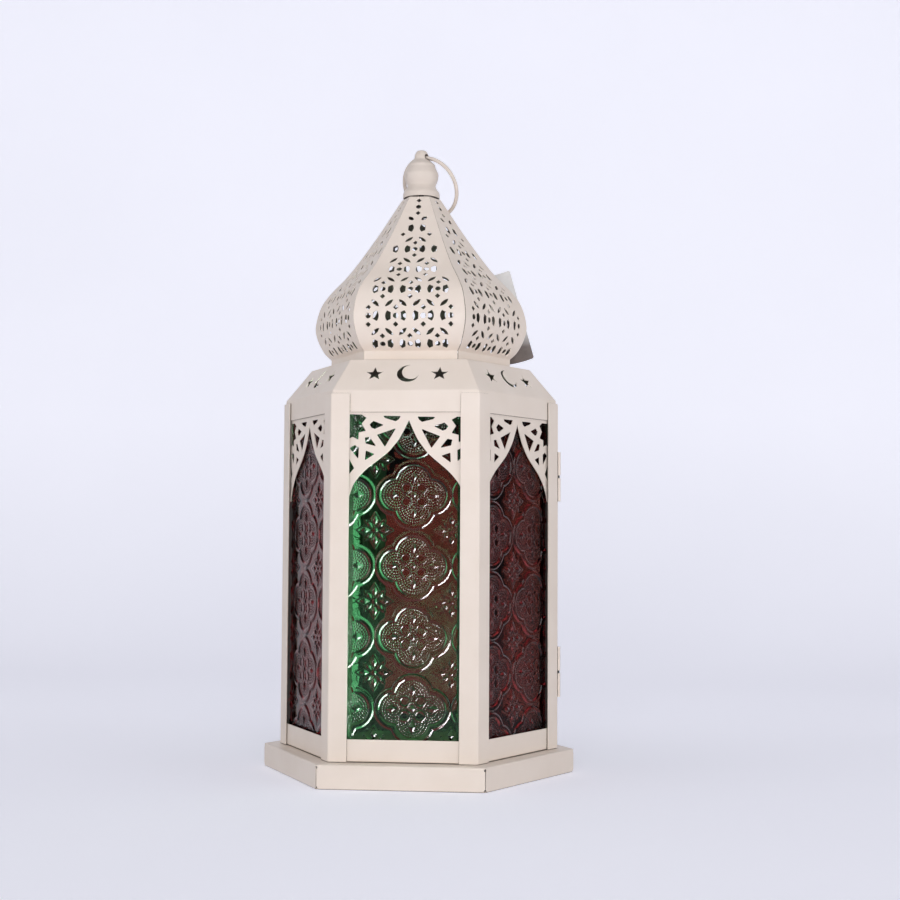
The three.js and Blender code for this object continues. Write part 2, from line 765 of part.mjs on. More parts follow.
// Point of the petal's outer surface at a distance along its profile, and the slope there.
function alongPetal(distance) {
  let left = distance;
  for (let i = 1; i < petalProfile.length; i += 1) {
    const span = petalProfile[i].distanceTo(petalProfile[i - 1]);
    if (left <= span || i === petalProfile.length - 1) {
      const at = petalProfile[i - 1].clone().lerp(petalProfile[i], left / span);
      const direction = petalProfile[i].clone().sub(petalProfile[i - 1]).normalize();
      return { at, direction };
    }
    left -= span;
  }
  return null;
}

// A punch through the petal: an outline about its own centre, set square to the surface.
function petalPunch(outline, x, distance) {
  const { at, direction } = alongPetal(distance);
  const depth = 6 * petalWall;
  const punch = flat(outline, depth).translate(0, 0, -depth / 2);
  const tilt = Math.atan2(direction.y, -direction.x);
  return punch.rotateX(tilt).translate(x, -at.x, at.y);
}

// A bracket on the given side of its rosette's centre, with its short edge towards the centre.
function bracket(side) {
  const outer = side * 0.35 * bracketWidth;
  const inner = -side * 0.5 * bracketWidth;
  return [
    [outer, bracketHeight / 2],
    [inner, bracketInner / 2],
    [inner, -bracketInner / 2],
    [outer, -bracketHeight / 2],
  ];
}

// A pointed slot turned by an angle.
function lens(length, width, turn) {
  const points = [[length / 2, 0], [0, width / 2], [-length / 2, 0], [0, -width / 2]];
  const c = Math.cos(turn);
  const s = Math.sin(turn);
  return points.map(([u, v]) => [u * c - v * s, u * s + v * c]);
}

// Widest x of the pattern at a distance along the petal.
function patternHalf(distance) {
  return alongPetal(distance).at.x * TAN - petalBorder;
}

// Rosettes in staggered rows, each a pair of brackets, with pointed slots between the rosettes of
// neighbouring rows.
function petalPunches() {
  const punches = [];
  const place = (outline, x, distance, reach) => {
    if (Math.abs(x) + reach <= patternHalf(distance)) punches.push(petalPunch(outline, x, distance));
  };
  for (let row = 0; row < motifRows; row += 1) {
    const distance = motifStart + row * motifRow;
    const shift = row % 2 === 0 ? 0 : motifPitch / 2;
    for (let column = -2; column <= 2; column += 1) {
      const x = column * motifPitch + shift;
      for (const side of [-1, 1]) {
        place(bracket(side), x + side * bracketOffset, distance, bracketWidth / 2);
        const slot = lens(slotLength, slotWidth, -side * rad(slotTurn));
        place(slot, x + side * motifPitch / 4, distance + slotRise, slotWidth / 2);
      }
    }
  }
  return punches;
}

const petal = cut(petalShell(), ...petalPunches());
FACES.forEach((face, index) => add(faceGroups[index], `dome_petal_${face}`, petal, creamPaint));

// Dome crown: a plate inside the petals' top that the finial's stud pulls down on

function insideRadiusAt(height) {
  for (let i = 1; i < petalInside.length; i += 1) {
    const a = petalInside[i - 1];
    const b = petalInside[i];
    if (height >= a.y && height <= b.y) return a.x + (b.x - a.x) * (height - a.y) / (b.y - a.y);
  }
  return 0;
}

function domeCrown() {
  const bottom = (insideRadiusAt(crownHeight) - gap) / COS;
  const top = (insideRadiusAt(crownHeight + crownWall) - gap) / COS;
  const profile = [
    [0, crownHeight],
    [bottom, crownHeight],
    [top, crownHeight + crownWall],
    [0, crownHeight + crownWall],
  ];
  const bore = upright(studRadius + gap, crownHeight - 1, crownHeight + crownWall + 1);
  return cut(hexTurned(profile), bore);
}

add(lantern, 'dome_crown', domeCrown(), steel);

// Finial: spun shell with a solid nub, bored below for the stud and across for the ring

const ringGroup = new THREE.Group();
ringGroup.rotation.z = rad(ringTurn);
lantern.add(ringGroup);

function finial() {
  const boreTop = studTop + gap;
  const profile = [
    [0, boreTop],
    [studRadius + gap, boreTop],
    [studRadius + gap, bulbHeight + 3.6],
    [bulbRadius - 2.2 - finialWall, bulbHeight + 2.6],
    [bulbRadius - finialWall, bulbHeight],
    [waistRadius - finialWall, waistHeight],
    [rimRadius - finialWall - 0.6, rimBottom + 5.2],
    [rimRadius - finialWall, rimBottom],
    [rimRadius, rimBottom],
    [rimRadius - 0.1, rimBottom + 3.4],
    [rimRadius - 0.6, rimBottom + 5.1],
    [waistRadius + 1.4, waistHeight - 3.0],
    [waistRadius, waistHeight],
    [waistRadius + 0.55, waistHeight + 2.2],
    [bulbRadius - 0.75, bulbHeight - 4.2],
    [bulbRadius, bulbHeight],
    [bulbRadius - 0.35, bulbHeight + 2.1],
    [bulbRadius - 2.25, bulbHeight + 6.3],
    [bulbRadius - 2.75, bulbHeight + 8.5],
    [nubRadius + 2.6, bulbHeight + 10.6],
    [nubRadius + 0.4, bulbHeight + 12.7],
    [nubRadius - 0.1, ringHeight + 0.5],
    [nubRadius - 0.5, totalHeight - 3.5],
    [nubRadius * 0.6, totalHeight - 0.8],
    [0, totalHeight],
  ];
  const ringHole = new THREE.CylinderGeometry(ringHoleRadius, ringHoleRadius, 4 * nubRadius, 12);
  ringHole.rotateZ(Math.PI / 2).translate(0, 0, ringHeight);
  return cut(turned(profile, 20), ringHole);
}

add(ringGroup, 'finial', finial(), creamPaint);

// Hanging ring: a closed wire ring through the nub, lying back on the dome

function hangingRing() {
  const ring = new THREE.TorusGeometry(ringRadius, ringWire, 6, 36).rotateX(Math.PI / 2);
  ring.translate(0, 0, -ringRadius);
  return ring.rotateX(rad(ringLean)).translate(0, 0, ringHeight);
}

add(ringGroup, 'hanging_ring', hangingRing(), creamPaint);

// Stud and nut that hold the finial down on the crown

const nutTop = crownHeight - gap;

function finialNut() {
  const nut = upright(nutWidth / 2 / COS, nutTop - nutHeight, nutTop, 0, 0, SIDES);
  return cut(nut, upright(studRadius + pinPlay, nutTop - nutHeight - 1, nutTop + 1));
}

add(lantern, 'finial_stud', upright(studRadius, nutTop - nutHeight - 2, studTop), steel);
add(lantern, 'finial_nut', finialNut(), steel);

// Card tag and its thread

tagInward.addScaledVector(tagUp, -tagInward.dot(tagUp)).normalize();
const tagSide = new THREE.Vector3().crossVectors(tagUp, tagInward);
const tagFrame = new THREE.Matrix4().makeBasis(tagInward, tagSide, tagUp).setPosition(tagCorner);

// Point of the curled card, by its angle round the curl, its height and its distance off the card.
function tagPoint(degrees, height, off) {
  const a = rad(degrees);
  const r = tagCurl + off;
  return new THREE.Vector3(r * Math.sin(a), r * Math.cos(a) - tagCurl, height).applyMatrix4(tagFrame);
}

function swingTag() {
  const steps = 8;
  const arc = (r) => Array.from({ length: steps + 1 }, (_, i) => {
    const a = rad(tagSpan) * i / steps;
    return [r * Math.sin(a), r * Math.cos(a) - tagCurl];
  });
  const blank = flat([...arc(tagCurl), ...arc(tagCurl - tagWall).reverse()], tagLength);
  const hole = new THREE.CylinderGeometry(tagHoleRadius, tagHoleRadius, 4, 8);
  hole.rotateZ(-rad(tagHoleAt));
  const a = rad(tagHoleAt);
  hole.translate(tagCurl * Math.sin(a), tagCurl * Math.cos(a) - tagCurl, tagLength - tagHoleDrop);
  return cut(blank, hole).applyMatrix4(tagFrame);
}

// Closed thread: in through one bracket, out through its mirror image and through the card's hole.
function tagThread() {
  const { at } = alongPetal(motifStart + threadRow * motifRow);
  const side = motifPitch / 2 - bracketOffset;
  const height = tagLength - tagHoleDrop;
  const path = new THREE.CatmullRomCurve3([
    new THREE.Vector3(0, -at.x + 5, at.y - 2),
    new THREE.Vector3(side, -at.x + 1, at.y),
    new THREE.Vector3(side + 1, -at.x - 6, at.y + 1),
    tagPoint(tagHoleAt, height + 16, 5),
    tagPoint(tagHoleAt, height + 4, 3),
    tagPoint(tagHoleAt, height, -tagWall / 2),
    tagPoint(tagHoleAt, height + 4, -3.5),
    tagPoint(tagHoleAt, height + 16, -5),
    new THREE.Vector3(-side, -at.x - 6, at.y + 1),
    new THREE.Vector3(-side, -at.x + 1, at.y),
  ], true);
  return new THREE.TubeGeometry(path, 48, threadRadius, 5, true);
}

add(faceGroups[DOOR], 'swing_tag', swingTag(), card);
add(faceGroups[DOOR], 'tag_thread', tagThread(), clearThread);

export default lantern;
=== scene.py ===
# Six-sided candle lantern of cream painted sheet metal: pierced onion dome, rolled glass in green and red,
# a hinged door, a finial with a wire ring and a blank card tag.
# Sizes below are in millimetres and become metres when a mesh is made.

import json
from math import acos, asin, cos, dist, pi, radians, sin, sqrt, tan

import bmesh
import bpy
import numpy as np
from mathutils import Matrix, Vector
from mathutils.geometry import delaunay_2d_cdt

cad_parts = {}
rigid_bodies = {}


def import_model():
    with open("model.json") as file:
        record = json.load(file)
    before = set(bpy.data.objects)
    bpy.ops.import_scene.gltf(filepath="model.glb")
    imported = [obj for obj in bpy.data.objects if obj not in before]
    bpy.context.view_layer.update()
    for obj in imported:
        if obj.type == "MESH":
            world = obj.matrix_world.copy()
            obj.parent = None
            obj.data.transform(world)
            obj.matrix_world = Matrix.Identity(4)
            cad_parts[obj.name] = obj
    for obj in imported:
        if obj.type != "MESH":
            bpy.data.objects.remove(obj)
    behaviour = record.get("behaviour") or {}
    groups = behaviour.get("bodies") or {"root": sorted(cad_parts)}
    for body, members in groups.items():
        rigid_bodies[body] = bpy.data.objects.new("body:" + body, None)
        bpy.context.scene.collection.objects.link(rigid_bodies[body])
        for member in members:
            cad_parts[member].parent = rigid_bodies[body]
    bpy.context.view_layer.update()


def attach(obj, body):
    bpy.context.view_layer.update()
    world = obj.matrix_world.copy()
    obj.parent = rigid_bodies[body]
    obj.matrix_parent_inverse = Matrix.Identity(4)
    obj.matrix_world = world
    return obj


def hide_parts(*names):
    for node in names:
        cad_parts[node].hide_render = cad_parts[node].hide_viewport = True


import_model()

MM = 0.001
SIDES = 6
SIDE_TURN = 360 / SIDES
COS = cos(pi / SIDES)
TAN = tan(pi / SIDES)
FACES = ["front", "right", "back_right", "back", "back_left", "left"]
CORNERS = ["front_right", "right", "back_right", "back_left", "left", "front_left"]
DOOR = FACES.index("back_right")
GAP = 0.3
BORE_PLAY = 0.05

# Base tray
BASE_RADIUS = 119.5
BASE_HEIGHT = 17.5
BASE_WALL = 1.0
BASE_LIP = 5.2
BASE_BEND = 1.5
BASE_SLIT = 0.28
SLIT_TOP = 15.4
RELIEF_RADIUS = 0.95
FOOT_BEND = 1.1
NOTCH_WIDTH = 1.4
NOTCH_HEIGHT = 3.2

# Body
BODY_RADIUS = 107.1
FACE_OUT = BODY_RADIUS * COS
POST_WALL = 1.0
POST_LEG = 13.55
DOOR_POST_LEG = 6.0
POST_TOP = 280.0
POST_BEND = 1.8
RAIL_OUT = FACE_OUT - POST_WALL - GAP
RAIL_WALL = 0.8
RAIL_HEIGHT = 16.2
RAIL_FOOT = 8.0
RAIL_BEND = 1.4
WINDOW_HALF = BODY_RADIUS / 2 - POST_LEG
WINDOW_BOTTOM = BASE_HEIGHT + RAIL_HEIGHT + GAP

# Shoulder roof
FLANGE_BOTTOM = 266.6
SHOULDER_BEND = 282.4
SHOULDER_TOP = 306.6
SHOULDER_TOP_RADIUS = 85.3
ROOF_HOLE_RADIUS = 60.0
ROOF_WALL = 0.8
ROOF_FOLD = 2.0
ROOF_CORNER = 1.6
STAR_RADIUS = 6.5
STAR_INNER = 2.7
STAR_OFFSET = 23.7
STAR_HEIGHT = 15.6
CRESCENT_RADIUS = 8.1
CRESCENT_BITE = 6.7
CRESCENT_SHIFT = 2.7
CRESCENT_TURN = radians(33)
CRESCENT_ASIDE = 0.6
CRESCENT_HEIGHT = 16.0

# Arch fretwork
FRET_WALL = 0.8
FRET_HALF = WINDOW_HALF + 6.8
FRET_FOOT = 204.0
FOOT_SPREAD = 3.0
ARCH_APEX = FLANGE_BOTTOM - 5.8
FRONT_FRET_SHIFT = 2.6
FRONT_FRET_TURN = radians(-1.4)

# Glass and retainers
GLASS_WALL = 3.0
GLASS_HALF = WINDOW_HALF + 2.6
DOOR_GLASS_HALF = WINDOW_HALF + 1.4
GLASS_BOTTOM = BASE_HEIGHT + 2.5
GLASS_TOP = FLANGE_BOTTOM + 4.9
DOOR_GLASS_TOP = FLANGE_BOTTOM - 0.6
GLASS_STEP = 0.48
RELIEF_DEPTH = 0.85
CELL_WIDTH = 55.0
CELL_HEIGHT = 50.6
# Each pair of lobes: centre along and up, radius, and middle of its leaf
LOBES = ((0, 8.8, 12.5, 12.9), (12.7, 0, 11.2, 15.0))
LEAF_SIZE = (4.7, 2.5)
LOOP_PLACE = (5.5, 5.0)
LOOP_RADIUS = 3.5
STUD_HALF = 2.6
# The rosettes' two sets of leaves: turn and length, then the knob in their middle
ROSETTE_LEAVES = ((0.0, 11.5), (pi / 4, 9.0))
ROSETTE_KNOB = 1.8
ROSETTE_FROM = 4.6
BAND_WIDTH = 3.3
BAND_EDGE = 1.15
BEAD_ROW = 1.95
BEAD_PITCH = 1.75
BEAD_RISE = 0.3
RETAINER_WALL = 0.8
RETAINER_LIP = 5.0
RETAINER_BOTTOM = BASE_HEIGHT + 1.4
RETAINER_BEND = 1.1
FRET_OUT = RAIL_OUT - RAIL_WALL - GAP
GLASS_OUT = FRET_OUT - FRET_WALL - GAP
RETAINER_OUT = GLASS_OUT - GLASS_WALL - GAP

# Door
LEAF_WALL = 0.6
LEAF_OUT = FACE_OUT + GAP + LEAF_WALL
DOOR_WALL = 0.9
DOOR_OUT = LEAF_OUT + GAP + DOOR_WALL
DOOR_BOTTOM = 19.5
DOOR_TOP = 279.5
DOOR_EDGE = 1.7
DOOR_FRET_OUT = LEAF_OUT
DOOR_GLASS_OUT = DOOR_FRET_OUT - FRET_WALL - GAP
DOOR_RETAINER_OUT = DOOR_GLASS_OUT - GLASS_WALL - GAP

# Hinges
HINGE_CENTRES = {"lower": 75.0, "upper": 224.0}
HINGE_HEIGHT = 38.0
HINGE_ALONG = 2.0
BARREL_RADIUS = 1.5
BARREL_X = HINGE_ALONG - BODY_RADIUS / 2
BARREL_DISTANCE = FACE_OUT + GAP + BARREL_RADIUS
PIN_RADIUS = 0.8
KNUCKLE_GAP = 2.0
POST_LEAF_WIDTH = DOOR_POST_LEG - HINGE_ALONG - 0.2
DOOR_LEAF_WIDTH = 10.0
RIVET_RADIUS = 1.3
RIVET_RISE = 0.55
RIVET_DEPTH = 0.4
RIVET_AT = 0.66

# Latch
LATCH_HEIGHT = 150.0
LATCH_X = BODY_RADIUS / 2 - 8.4
STEM_RADIUS = 1.2
TONGUE_OUT = FACE_OUT - POST_WALL - GAP
TONGUE_WALL = 1.0
TONGUE_LENGTH = 6.2
TONGUE_WIDTH = 3.8
GRIP_LENGTH = 11.0
GRIP_WIDTH = 3.0
GRIP_DEPTH = 5.0
COLLAR_WALL = 1.2
GRIP_COLLAR_RADIUS = 3.2
COLLAR_ROUND = 0.4
STEM_CHAMFER = 0.3
GRIP_ROOT = 2.1

# Dome
PETAL_WALL = 0.8
COLLAR_BOTTOM = SHOULDER_TOP + GAP
COLLAR_RADIUS = 70.0
COLLAR_HEIGHT = 7.6
COLLAR_BEND = 1.6
PETAL_TOP = 440.4
PETAL_PROFILE = [
    (COLLAR_RADIUS, COLLAR_BOTTOM + COLLAR_HEIGHT), (75.6, 320.0), (80.9, 330.0), (82.8, 340.5),
    (79.2, 355.0), (72.0, 366.0), (55.8, 383.0), (35.6, 410.0), (15.4, PETAL_TOP),
]
MOTIF_PITCH = 20.4
MOTIF_ROW = 21.6
MOTIF_START = 13.6
MOTIF_ROWS = 7
PETAL_BORDER = 4.6
EYE_RADIUS = 2.05
BRACKET_OFFSET = 5.75
BRACKET_WIDTH = 4.3
BRACKET_HEIGHT = 8.0
BRACKET_INNER = 5.0
DIAMOND_RISE = 6.4
DIAMOND_HALF = 2.1
SLOT_LENGTH = 8.1
SLOT_WIDTH = 2.9
SLOT_TURN = radians(42)
SLOT_RISE = 9.8
# Extra corners that let a petal curve: their pitch, and their distance from edges and seams
SEED_STEP = 2.4
SEED_CLEAR = 0.9
SEED_MARGIN = 0.8
SEAM_BLEND = 5.0

# Crown, finial and ring
CROWN_HEIGHT = PETAL_TOP - 10.4
CROWN_WALL = 1.2
RIM_BOTTOM = PETAL_TOP + 0.9
FINIAL_WALL = 1.1
STUD_RADIUS = 2.0
STUD_PITCH = 0.7
STUD_DEPTH = 0.22
RING_HEIGHT = 473.8
RING_HOLE = 2.5
STUD_TOP = RING_HEIGHT - RING_HOLE - 4.8
NUT_WIDTH = 7.0
NUT_HEIGHT = 3.2
RING_RADIUS = 24.1
RING_WIRE = 1.5
RING_TURN = -30
RING_LEAN = 29.4
RIM_RADIUS = 14.4
NECK = (11.15, 451.0)
BULB = (13.35, 459.5)
FINIAL_PROFILE = [
    (RIM_RADIUS, RIM_BOTTOM), (14.3, 444.7), (13.8, 446.4), (12.55, 448.0), NECK, (11.7, 453.2),
    (12.6, 455.3), BULB, (13.0, 461.6), (11.1, 465.8), (10.6, 468.0), (8.3, 470.1), (6.1, 472.2),
    (5.6, 474.3), (5.2, 476.5), (3.42, 479.2), (0.0, 480.0),
]

# Tag, in the frame of the door's face
# Heights in metres between which the card turns from painted shade below to pale above
TAG_SHADE_HEIGHTS = (0.334, 0.346)
TAG_LENGTH = 77.0
TAG_WALL = 0.5
TAG_CURL = 26.0
TAG_SPAN = radians(80)
TAG_CORNER = Vector((26.6, -114.0, 325.5))
TAG_UP = Vector((-0.239, 0.4175, 0.877)).normalized()
TAG_INWARD = Vector((0.115, 0.909, -0.4))
TAG_HOLE_AT = radians(52)
TAG_HOLE_DROP = 6.0
TAG_HOLE_RADIUS = 1.8
THREAD_RADIUS = 0.5
# Row of the dome's pattern that the thread runs through, counted from 0
THREAD_ROW = 5

# Camera: where it stands and how it is turned, as found from the picture
CAMERA_AZIMUTH = radians(6.593)
CAMERA_DISTANCE = 1152.15
CAMERA_HEIGHT = 178.64
CAMERA_PITCH = radians(3.280)
CAMERA_ROLL = radians(0.338)
CAMERA_YAW = radians(1.173)
CAMERA_LENS = 59.48
CAMERA_SENSOR = 36.0


def towards(first, second, angle):
    """Two square directions turned in their plane, the first towards the second."""
    return first * cos(angle) + second * sin(angle), second * cos(angle) - first * sin(angle)


def place_camera():
    a = CAMERA_AZIMUTH
    place = Vector((sin(a) * CAMERA_DISTANCE, -cos(a) * CAMERA_DISTANCE, CAMERA_HEIGHT))
    forward, right = towards(Vector((-sin(a), cos(a), 0)), Vector((cos(a), sin(a), 0)), CAMERA_YAW)
    forward, up = towards(forward, Vector((0, 0, 1)), CAMERA_PITCH)
    right, up = towards(right, up, CAMERA_ROLL)
    data = bpy.data.cameras.new("camera")
    data.lens = CAMERA_LENS
    data.sensor_width = CAMERA_SENSOR
    data.clip_start = 0.01
    data.clip_end = 100
    camera = bpy.data.objects.new("camera", data)
    bpy.context.scene.collection.objects.link(camera)
    turn = Matrix((right, up, -forward)).transposed().to_4x4()
    camera.matrix_world = Matrix.Translation(place * MM) @ turn
    bpy.context.scene.camera = camera


place_camera()

# Nodes. An output knows its tree, so helpers that are given one take no tree.

NOISE_SPAN = (0.3, 0.7)


def feed(node, inputs):
    """Gives a node's inputs plain values or other nodes' outputs, as {name or place: value}."""
    for name, value in inputs.items():
        if isinstance(value, bpy.types.NodeSocket):
            node.id_data.links.new(value, node.inputs[name])
        else:
            node.inputs[name].default_value = value


def add(tree, kind, inputs=None, **settings):
    """A new node with its settings and inputs."""
    node = tree.nodes.new("ShaderNode" + kind)
    for name, value in settings.items():
        setattr(node, name, value)
    feed(node, inputs or {})
    return node


def calc(operation, *values):
    """The result of a sum on numbers and on outputs of nodes."""
    tree = next(value.id_data for value in values if isinstance(value, bpy.types.NodeSocket))
    return add(tree, "Math", dict(enumerate(values)), operation=operation).outputs["Value"]


def vector(operation, *values, out="Vector"):
    """The result of a sum on vectors, the first of which is an output."""
    return add(values[0].id_data, "VectorMath", dict(enumerate(values)), operation=operation).outputs[out]


def split(source):
    """A vector's parts."""
    return add(source.id_data, "SeparateXYZ", {0: source}).outputs


def rise(source, start, end, low=0.0, high=1.0):
    """A value that runs from low to high as the source runs from start to end."""
    spans = {"Value": source, "From Min": start, "From Max": end, "To Min": low, "To Max": high}
    return add(source.id_data, "MapRange", spans).outputs["Result"]


def spread(source, low, high):
    """A value that runs from low to high as a noise runs through its usual span."""
    return rise(source, *NOISE_SPAN, low, high)


def ramp(source, stops):
    """A colour that runs through [position, colour] stops."""
    node = add(source.id_data, "ValToRGB", {"Fac": source})
    elements = node.color_ramp.elements
    while len(elements) < len(stops):
        elements.new(0.5)
    for element, (position, colour) in zip(elements, stops):
        element.position = position
        element.color = (*colour, 1.0)
    return node.outputs["Color"]


def tones(source, dark, light):
    """A colour that runs from dark to light as a noise runs through its usual span."""
    return ramp(source, list(zip(NOISE_SPAN, (dark, light))))


def noise(tree, scale, detail=3.0, stretch=(1, 1, 1)):
    """Noise in the object's own space, with scale in features per metre."""
    place = add(tree, "TexCoord").outputs["Object"]
    mapped = add(tree, "Mapping", {"Vector": place, "Scale": stretch}).outputs["Vector"]
    return add(tree, "TexNoise", {"Vector": mapped, "Scale": scale, "Detail": detail}).outputs["Fac"]


def blend(factor, first, second):
    """A colour that goes from the first to the second as the factor goes from 0 to 1."""
    node = add(factor.id_data, "Mix", {"Factor": factor}, data_type="RGBA")
    coloured = [i for i, socket in enumerate(node.inputs) if socket.type == "RGBA"]
    feed(node, dict(zip(coloured, (first, second))))
    return next(socket for socket in node.outputs if socket.type == "RGBA")


def mix_shader(factor, first, second):
    return add(factor.id_data, "MixShader", {"Fac": factor, 1: first, 2: second}).outputs[0]


def add_bump(shader, height, strength, distance):
    """Bumps on top of those that the shader already has."""
    inputs = {"Strength": strength, "Distance": distance, "Height": height}
    inputs.update(("Normal", link.from_socket) for link in shader.inputs["Normal"].links)
    feed(shader, {"Normal": add(height.id_data, "Bump", inputs).outputs["Normal"]})


def bent_ray(tree):
    """1 for rays that gloss or glass has turned."""
    path = add(tree, "LightPath").outputs
    return calc("MAXIMUM", path["Is Glossy Ray"], path["Is Transmission Ray"])


def view_ray(tree):
    """1 for rays that come from the camera, or from it by way of gloss or glass."""
    return calc("MAXIMUM", add(tree, "LightPath").outputs["Is Camera Ray"], bent_ray(tree))


def node_material(name):
    """A new material, its node tree and the tree's shader."""
    material = bpy.data.materials.new(name)
    material.use_nodes = True
    tree = material.node_tree
    return material, tree, tree.nodes["Principled BSDF"]


# Stage and light, with sizes in metres

SWEEP_FRONT = -4.0
SWEEP_BACK = 0.7
SWEEP_BEND = 1.2
SWEEP_TOP = 3.2
SWEEP_SIDE = 1.8
# The sweep's painted glow rises from low to high between two places on each axis. Under the base there is
# none, which paints a shadow there: it sets in between two distances from the axis.
SWEEP_GLOW = (("Z", 0.0, 0.4, 0.412, 0.533), ("Y", -0.5, 0.3, -0.12, 0.0))
GLOW_FROM = (0.09, 0.1)
BACKDROP = (0.85, 0.85, 0.93)
STUDIO_DARK = (0.04, 0.04, 0.045)
STUDIO_PALE_FROM = (0.50, 0.70)
# The mirrored floor: heights of view between which it turns paler, and how pale from first to last
FLOOR_PALE = (-0.02, -0.3, 0.0, 0.45)
WORLD_COLOUR = (0.93, 0.94, 1.0, 1)
WORLD_LIGHT = 0.455
LAMP_TARGET = (0, 0, 0.2)
FILL_COLOUR = (0.95, 0.985, 1.0)


def light_world():
    """Dim light on the object, a pale backdrop, and a darker studio for gloss and glass to mirror."""
    world = bpy.data.worlds.new("studio")
    bpy.context.scene.world = world
    world.use_nodes = True
    tree = world.node_tree
    tree.nodes.clear()
    place = split(add(tree, "TexCoord").outputs["Generated"])
    pale = calc("MAXIMUM", rise(place["Y"], *STUDIO_PALE_FROM), rise(place["Z"], *FLOOR_PALE))
    mirrored = ramp(pale, [(0.0, STUDIO_DARK), (1.0, BACKDROP)])
    dim = add(tree, "Background", {"Color": WORLD_COLOUR, "Strength": WORLD_LIGHT}).outputs[0]
    seen, gloss = (add(tree, "Background", {"Color": c}).outputs[0] for c in ((*BACKDROP, 1), mirrored))
    viewed = mix_shader(bent_ray(tree), seen, gloss)
    add(tree, "OutputWorld", {"Surface": mix_shader(view_ray(tree), dim, viewed)})


def sweep_material():
    """Pale paper sweep that keeps shadows. The camera sees it a little brighter than its light makes it."""
    material, tree, shader = node_material("sweep_paper")
    colour = tones(noise(tree, 2.0), (0.775, 0.775, 0.845), (0.795, 0.795, 0.865))
    place = split(add(tree, "NewGeometry").outputs["Position"])
    shares = [rise(place[axis], *span) for axis, *span in SWEEP_GLOW]
    squares = [calc("MULTIPLY", place[axis], place[axis]) for axis in "XY"]
    # No glow under the base: a painted shadow there
    beyond_painted_shadow = rise(calc("SQRT", calc("ADD", *squares)), *GLOW_FROM)
    glow = calc("MULTIPLY", calc("ADD", *shares), calc("MULTIPLY", beyond_painted_shadow, view_ray(tree)))
    feed(shader, {"Base Color": colour, "Roughness": spread(noise(tree, 30.0), 0.85, 0.95)})
    feed(shader, {"Specular IOR Level": 0.1, "Emission Color": colour, "Emission Strength": glow})
    add_bump(shader, noise(tree, 500.0), 0.05, 0.0002)
    return material


def build_sweep():
    """Floor that curves up into a wall behind the object."""
    profile = [(SWEEP_FRONT, 0.0), (-1.0, 0.0), (0.0, 0.0), (SWEEP_BACK, 0.0)]
    for step in range(1, 17):
        a = pi / 2 * step / 16
        profile.append((SWEEP_BACK + SWEEP_BEND * sin(a), SWEEP_BEND * (1 - cos(a))))
    profile.append((SWEEP_BACK + SWEEP_BEND, SWEEP_TOP))
    points = [(x, y, z) for y, z in profile for x in (-SWEEP_SIDE, SWEEP_SIDE)]
    faces = [(2 * i, 2 * i + 1, 2 * i + 3, 2 * i + 2) for i in range(len(profile) - 1)]
    mesh = bpy.data.meshes.new("sweep")
    mesh.from_pydata(points, [], faces)
    mesh.shade_smooth()
    mesh.materials.append(sweep_material())
    sweep = bpy.data.objects.new("sweep", mesh)
    bpy.context.scene.collection.objects.link(sweep)
    sweep.visible_glossy = False


def lamp(name, kind, ahead, power):
    """A lamp that shines along a direction."""
    data = bpy.data.lights.new(name, kind)
    data.energy = power
    light = bpy.data.objects.new(name, data)
    light.rotation_euler = ahead.to_track_quat("-Z", "Y").to_euler()
    bpy.context.scene.collection.objects.link(light)
    return light


def softbox(name, place, width, height, power, colour):
    """A flat lamp that is aimed at the middle of the lantern."""
    light = lamp(name, "AREA", Vector(LAMP_TARGET) - Vector(place), power)
    light.location = place
    light.data.shape = "RECTANGLE"
    light.data.size = width
    light.data.size_y = height
    light.data.color = colour
    return light


def glint_light(direction, spread_angle, power):
    """A far, soft light that only the front pane shows, as glints on its raised pattern."""
    light = lamp("glints", "SUN", -Vector(direction), power)
    light.data.angle = spread_angle
    light.visible_diffuse = False
    light.visible_transmission = False
    lit = bpy.data.collections.new("glint_receivers")
    blocking = bpy.data.collections.new("glint_blockers")
    for piece in bpy.data.objects:
        if piece.name == "glass_pane_front_detail":
            lit.objects.link(piece)
        elif piece.name.startswith(("arch_fretwork", "corner_post")) and piece.name.endswith("_detail"):
            blocking.objects.link(piece)
    light.light_linking.receiver_collection = lit
    light.light_linking.blocker_collection = blocking


# Materials

CREAM = ((0.30, (0.805, 0.700, 0.612)), (0.55, (0.830, 0.727, 0.641)), (0.75, (0.845, 0.744, 0.661)))
# Painted shade in crevices: its dark tones, and the span of occlusion over which it fades out
CREVICE_SHADE = ((0.26, 0.215, 0.18), (0.38, 0.315, 0.26))
CREVICE_SHADE_SPAN = (0.4, 0.75)
# Darker tones for the inner sides, and painted shade on faces that look down and on the tray lip's top
DARK_INSIDE_AND_SHADE = ((0.115, 0.095, 0.080), (0.165, 0.140, 0.120))


def facing_in(tree):
    """1 where a surface looks towards the lantern's axis, straight down, or up from the tray's lip."""
    place = add(tree, "TexCoord").outputs
    inward = vector("NORMALIZE", vector("MULTIPLY", place["Object"], (-1, -1, 0)))
    along = vector("DOT_PRODUCT", inward, place["Normal"], out="Value")
    upward = split(place["Normal"])["Z"]
    low = calc("LESS_THAN", split(place["Object"])["Z"], 2.0 * MM)
    up = calc("MULTIPLY", low, rise(upward, 0.85, 0.95))
    level = calc("MAXIMUM", rise(upward, -0.85, -0.95), up)
    return calc("MAXIMUM", rise(along, 0.3, 0.5), level)


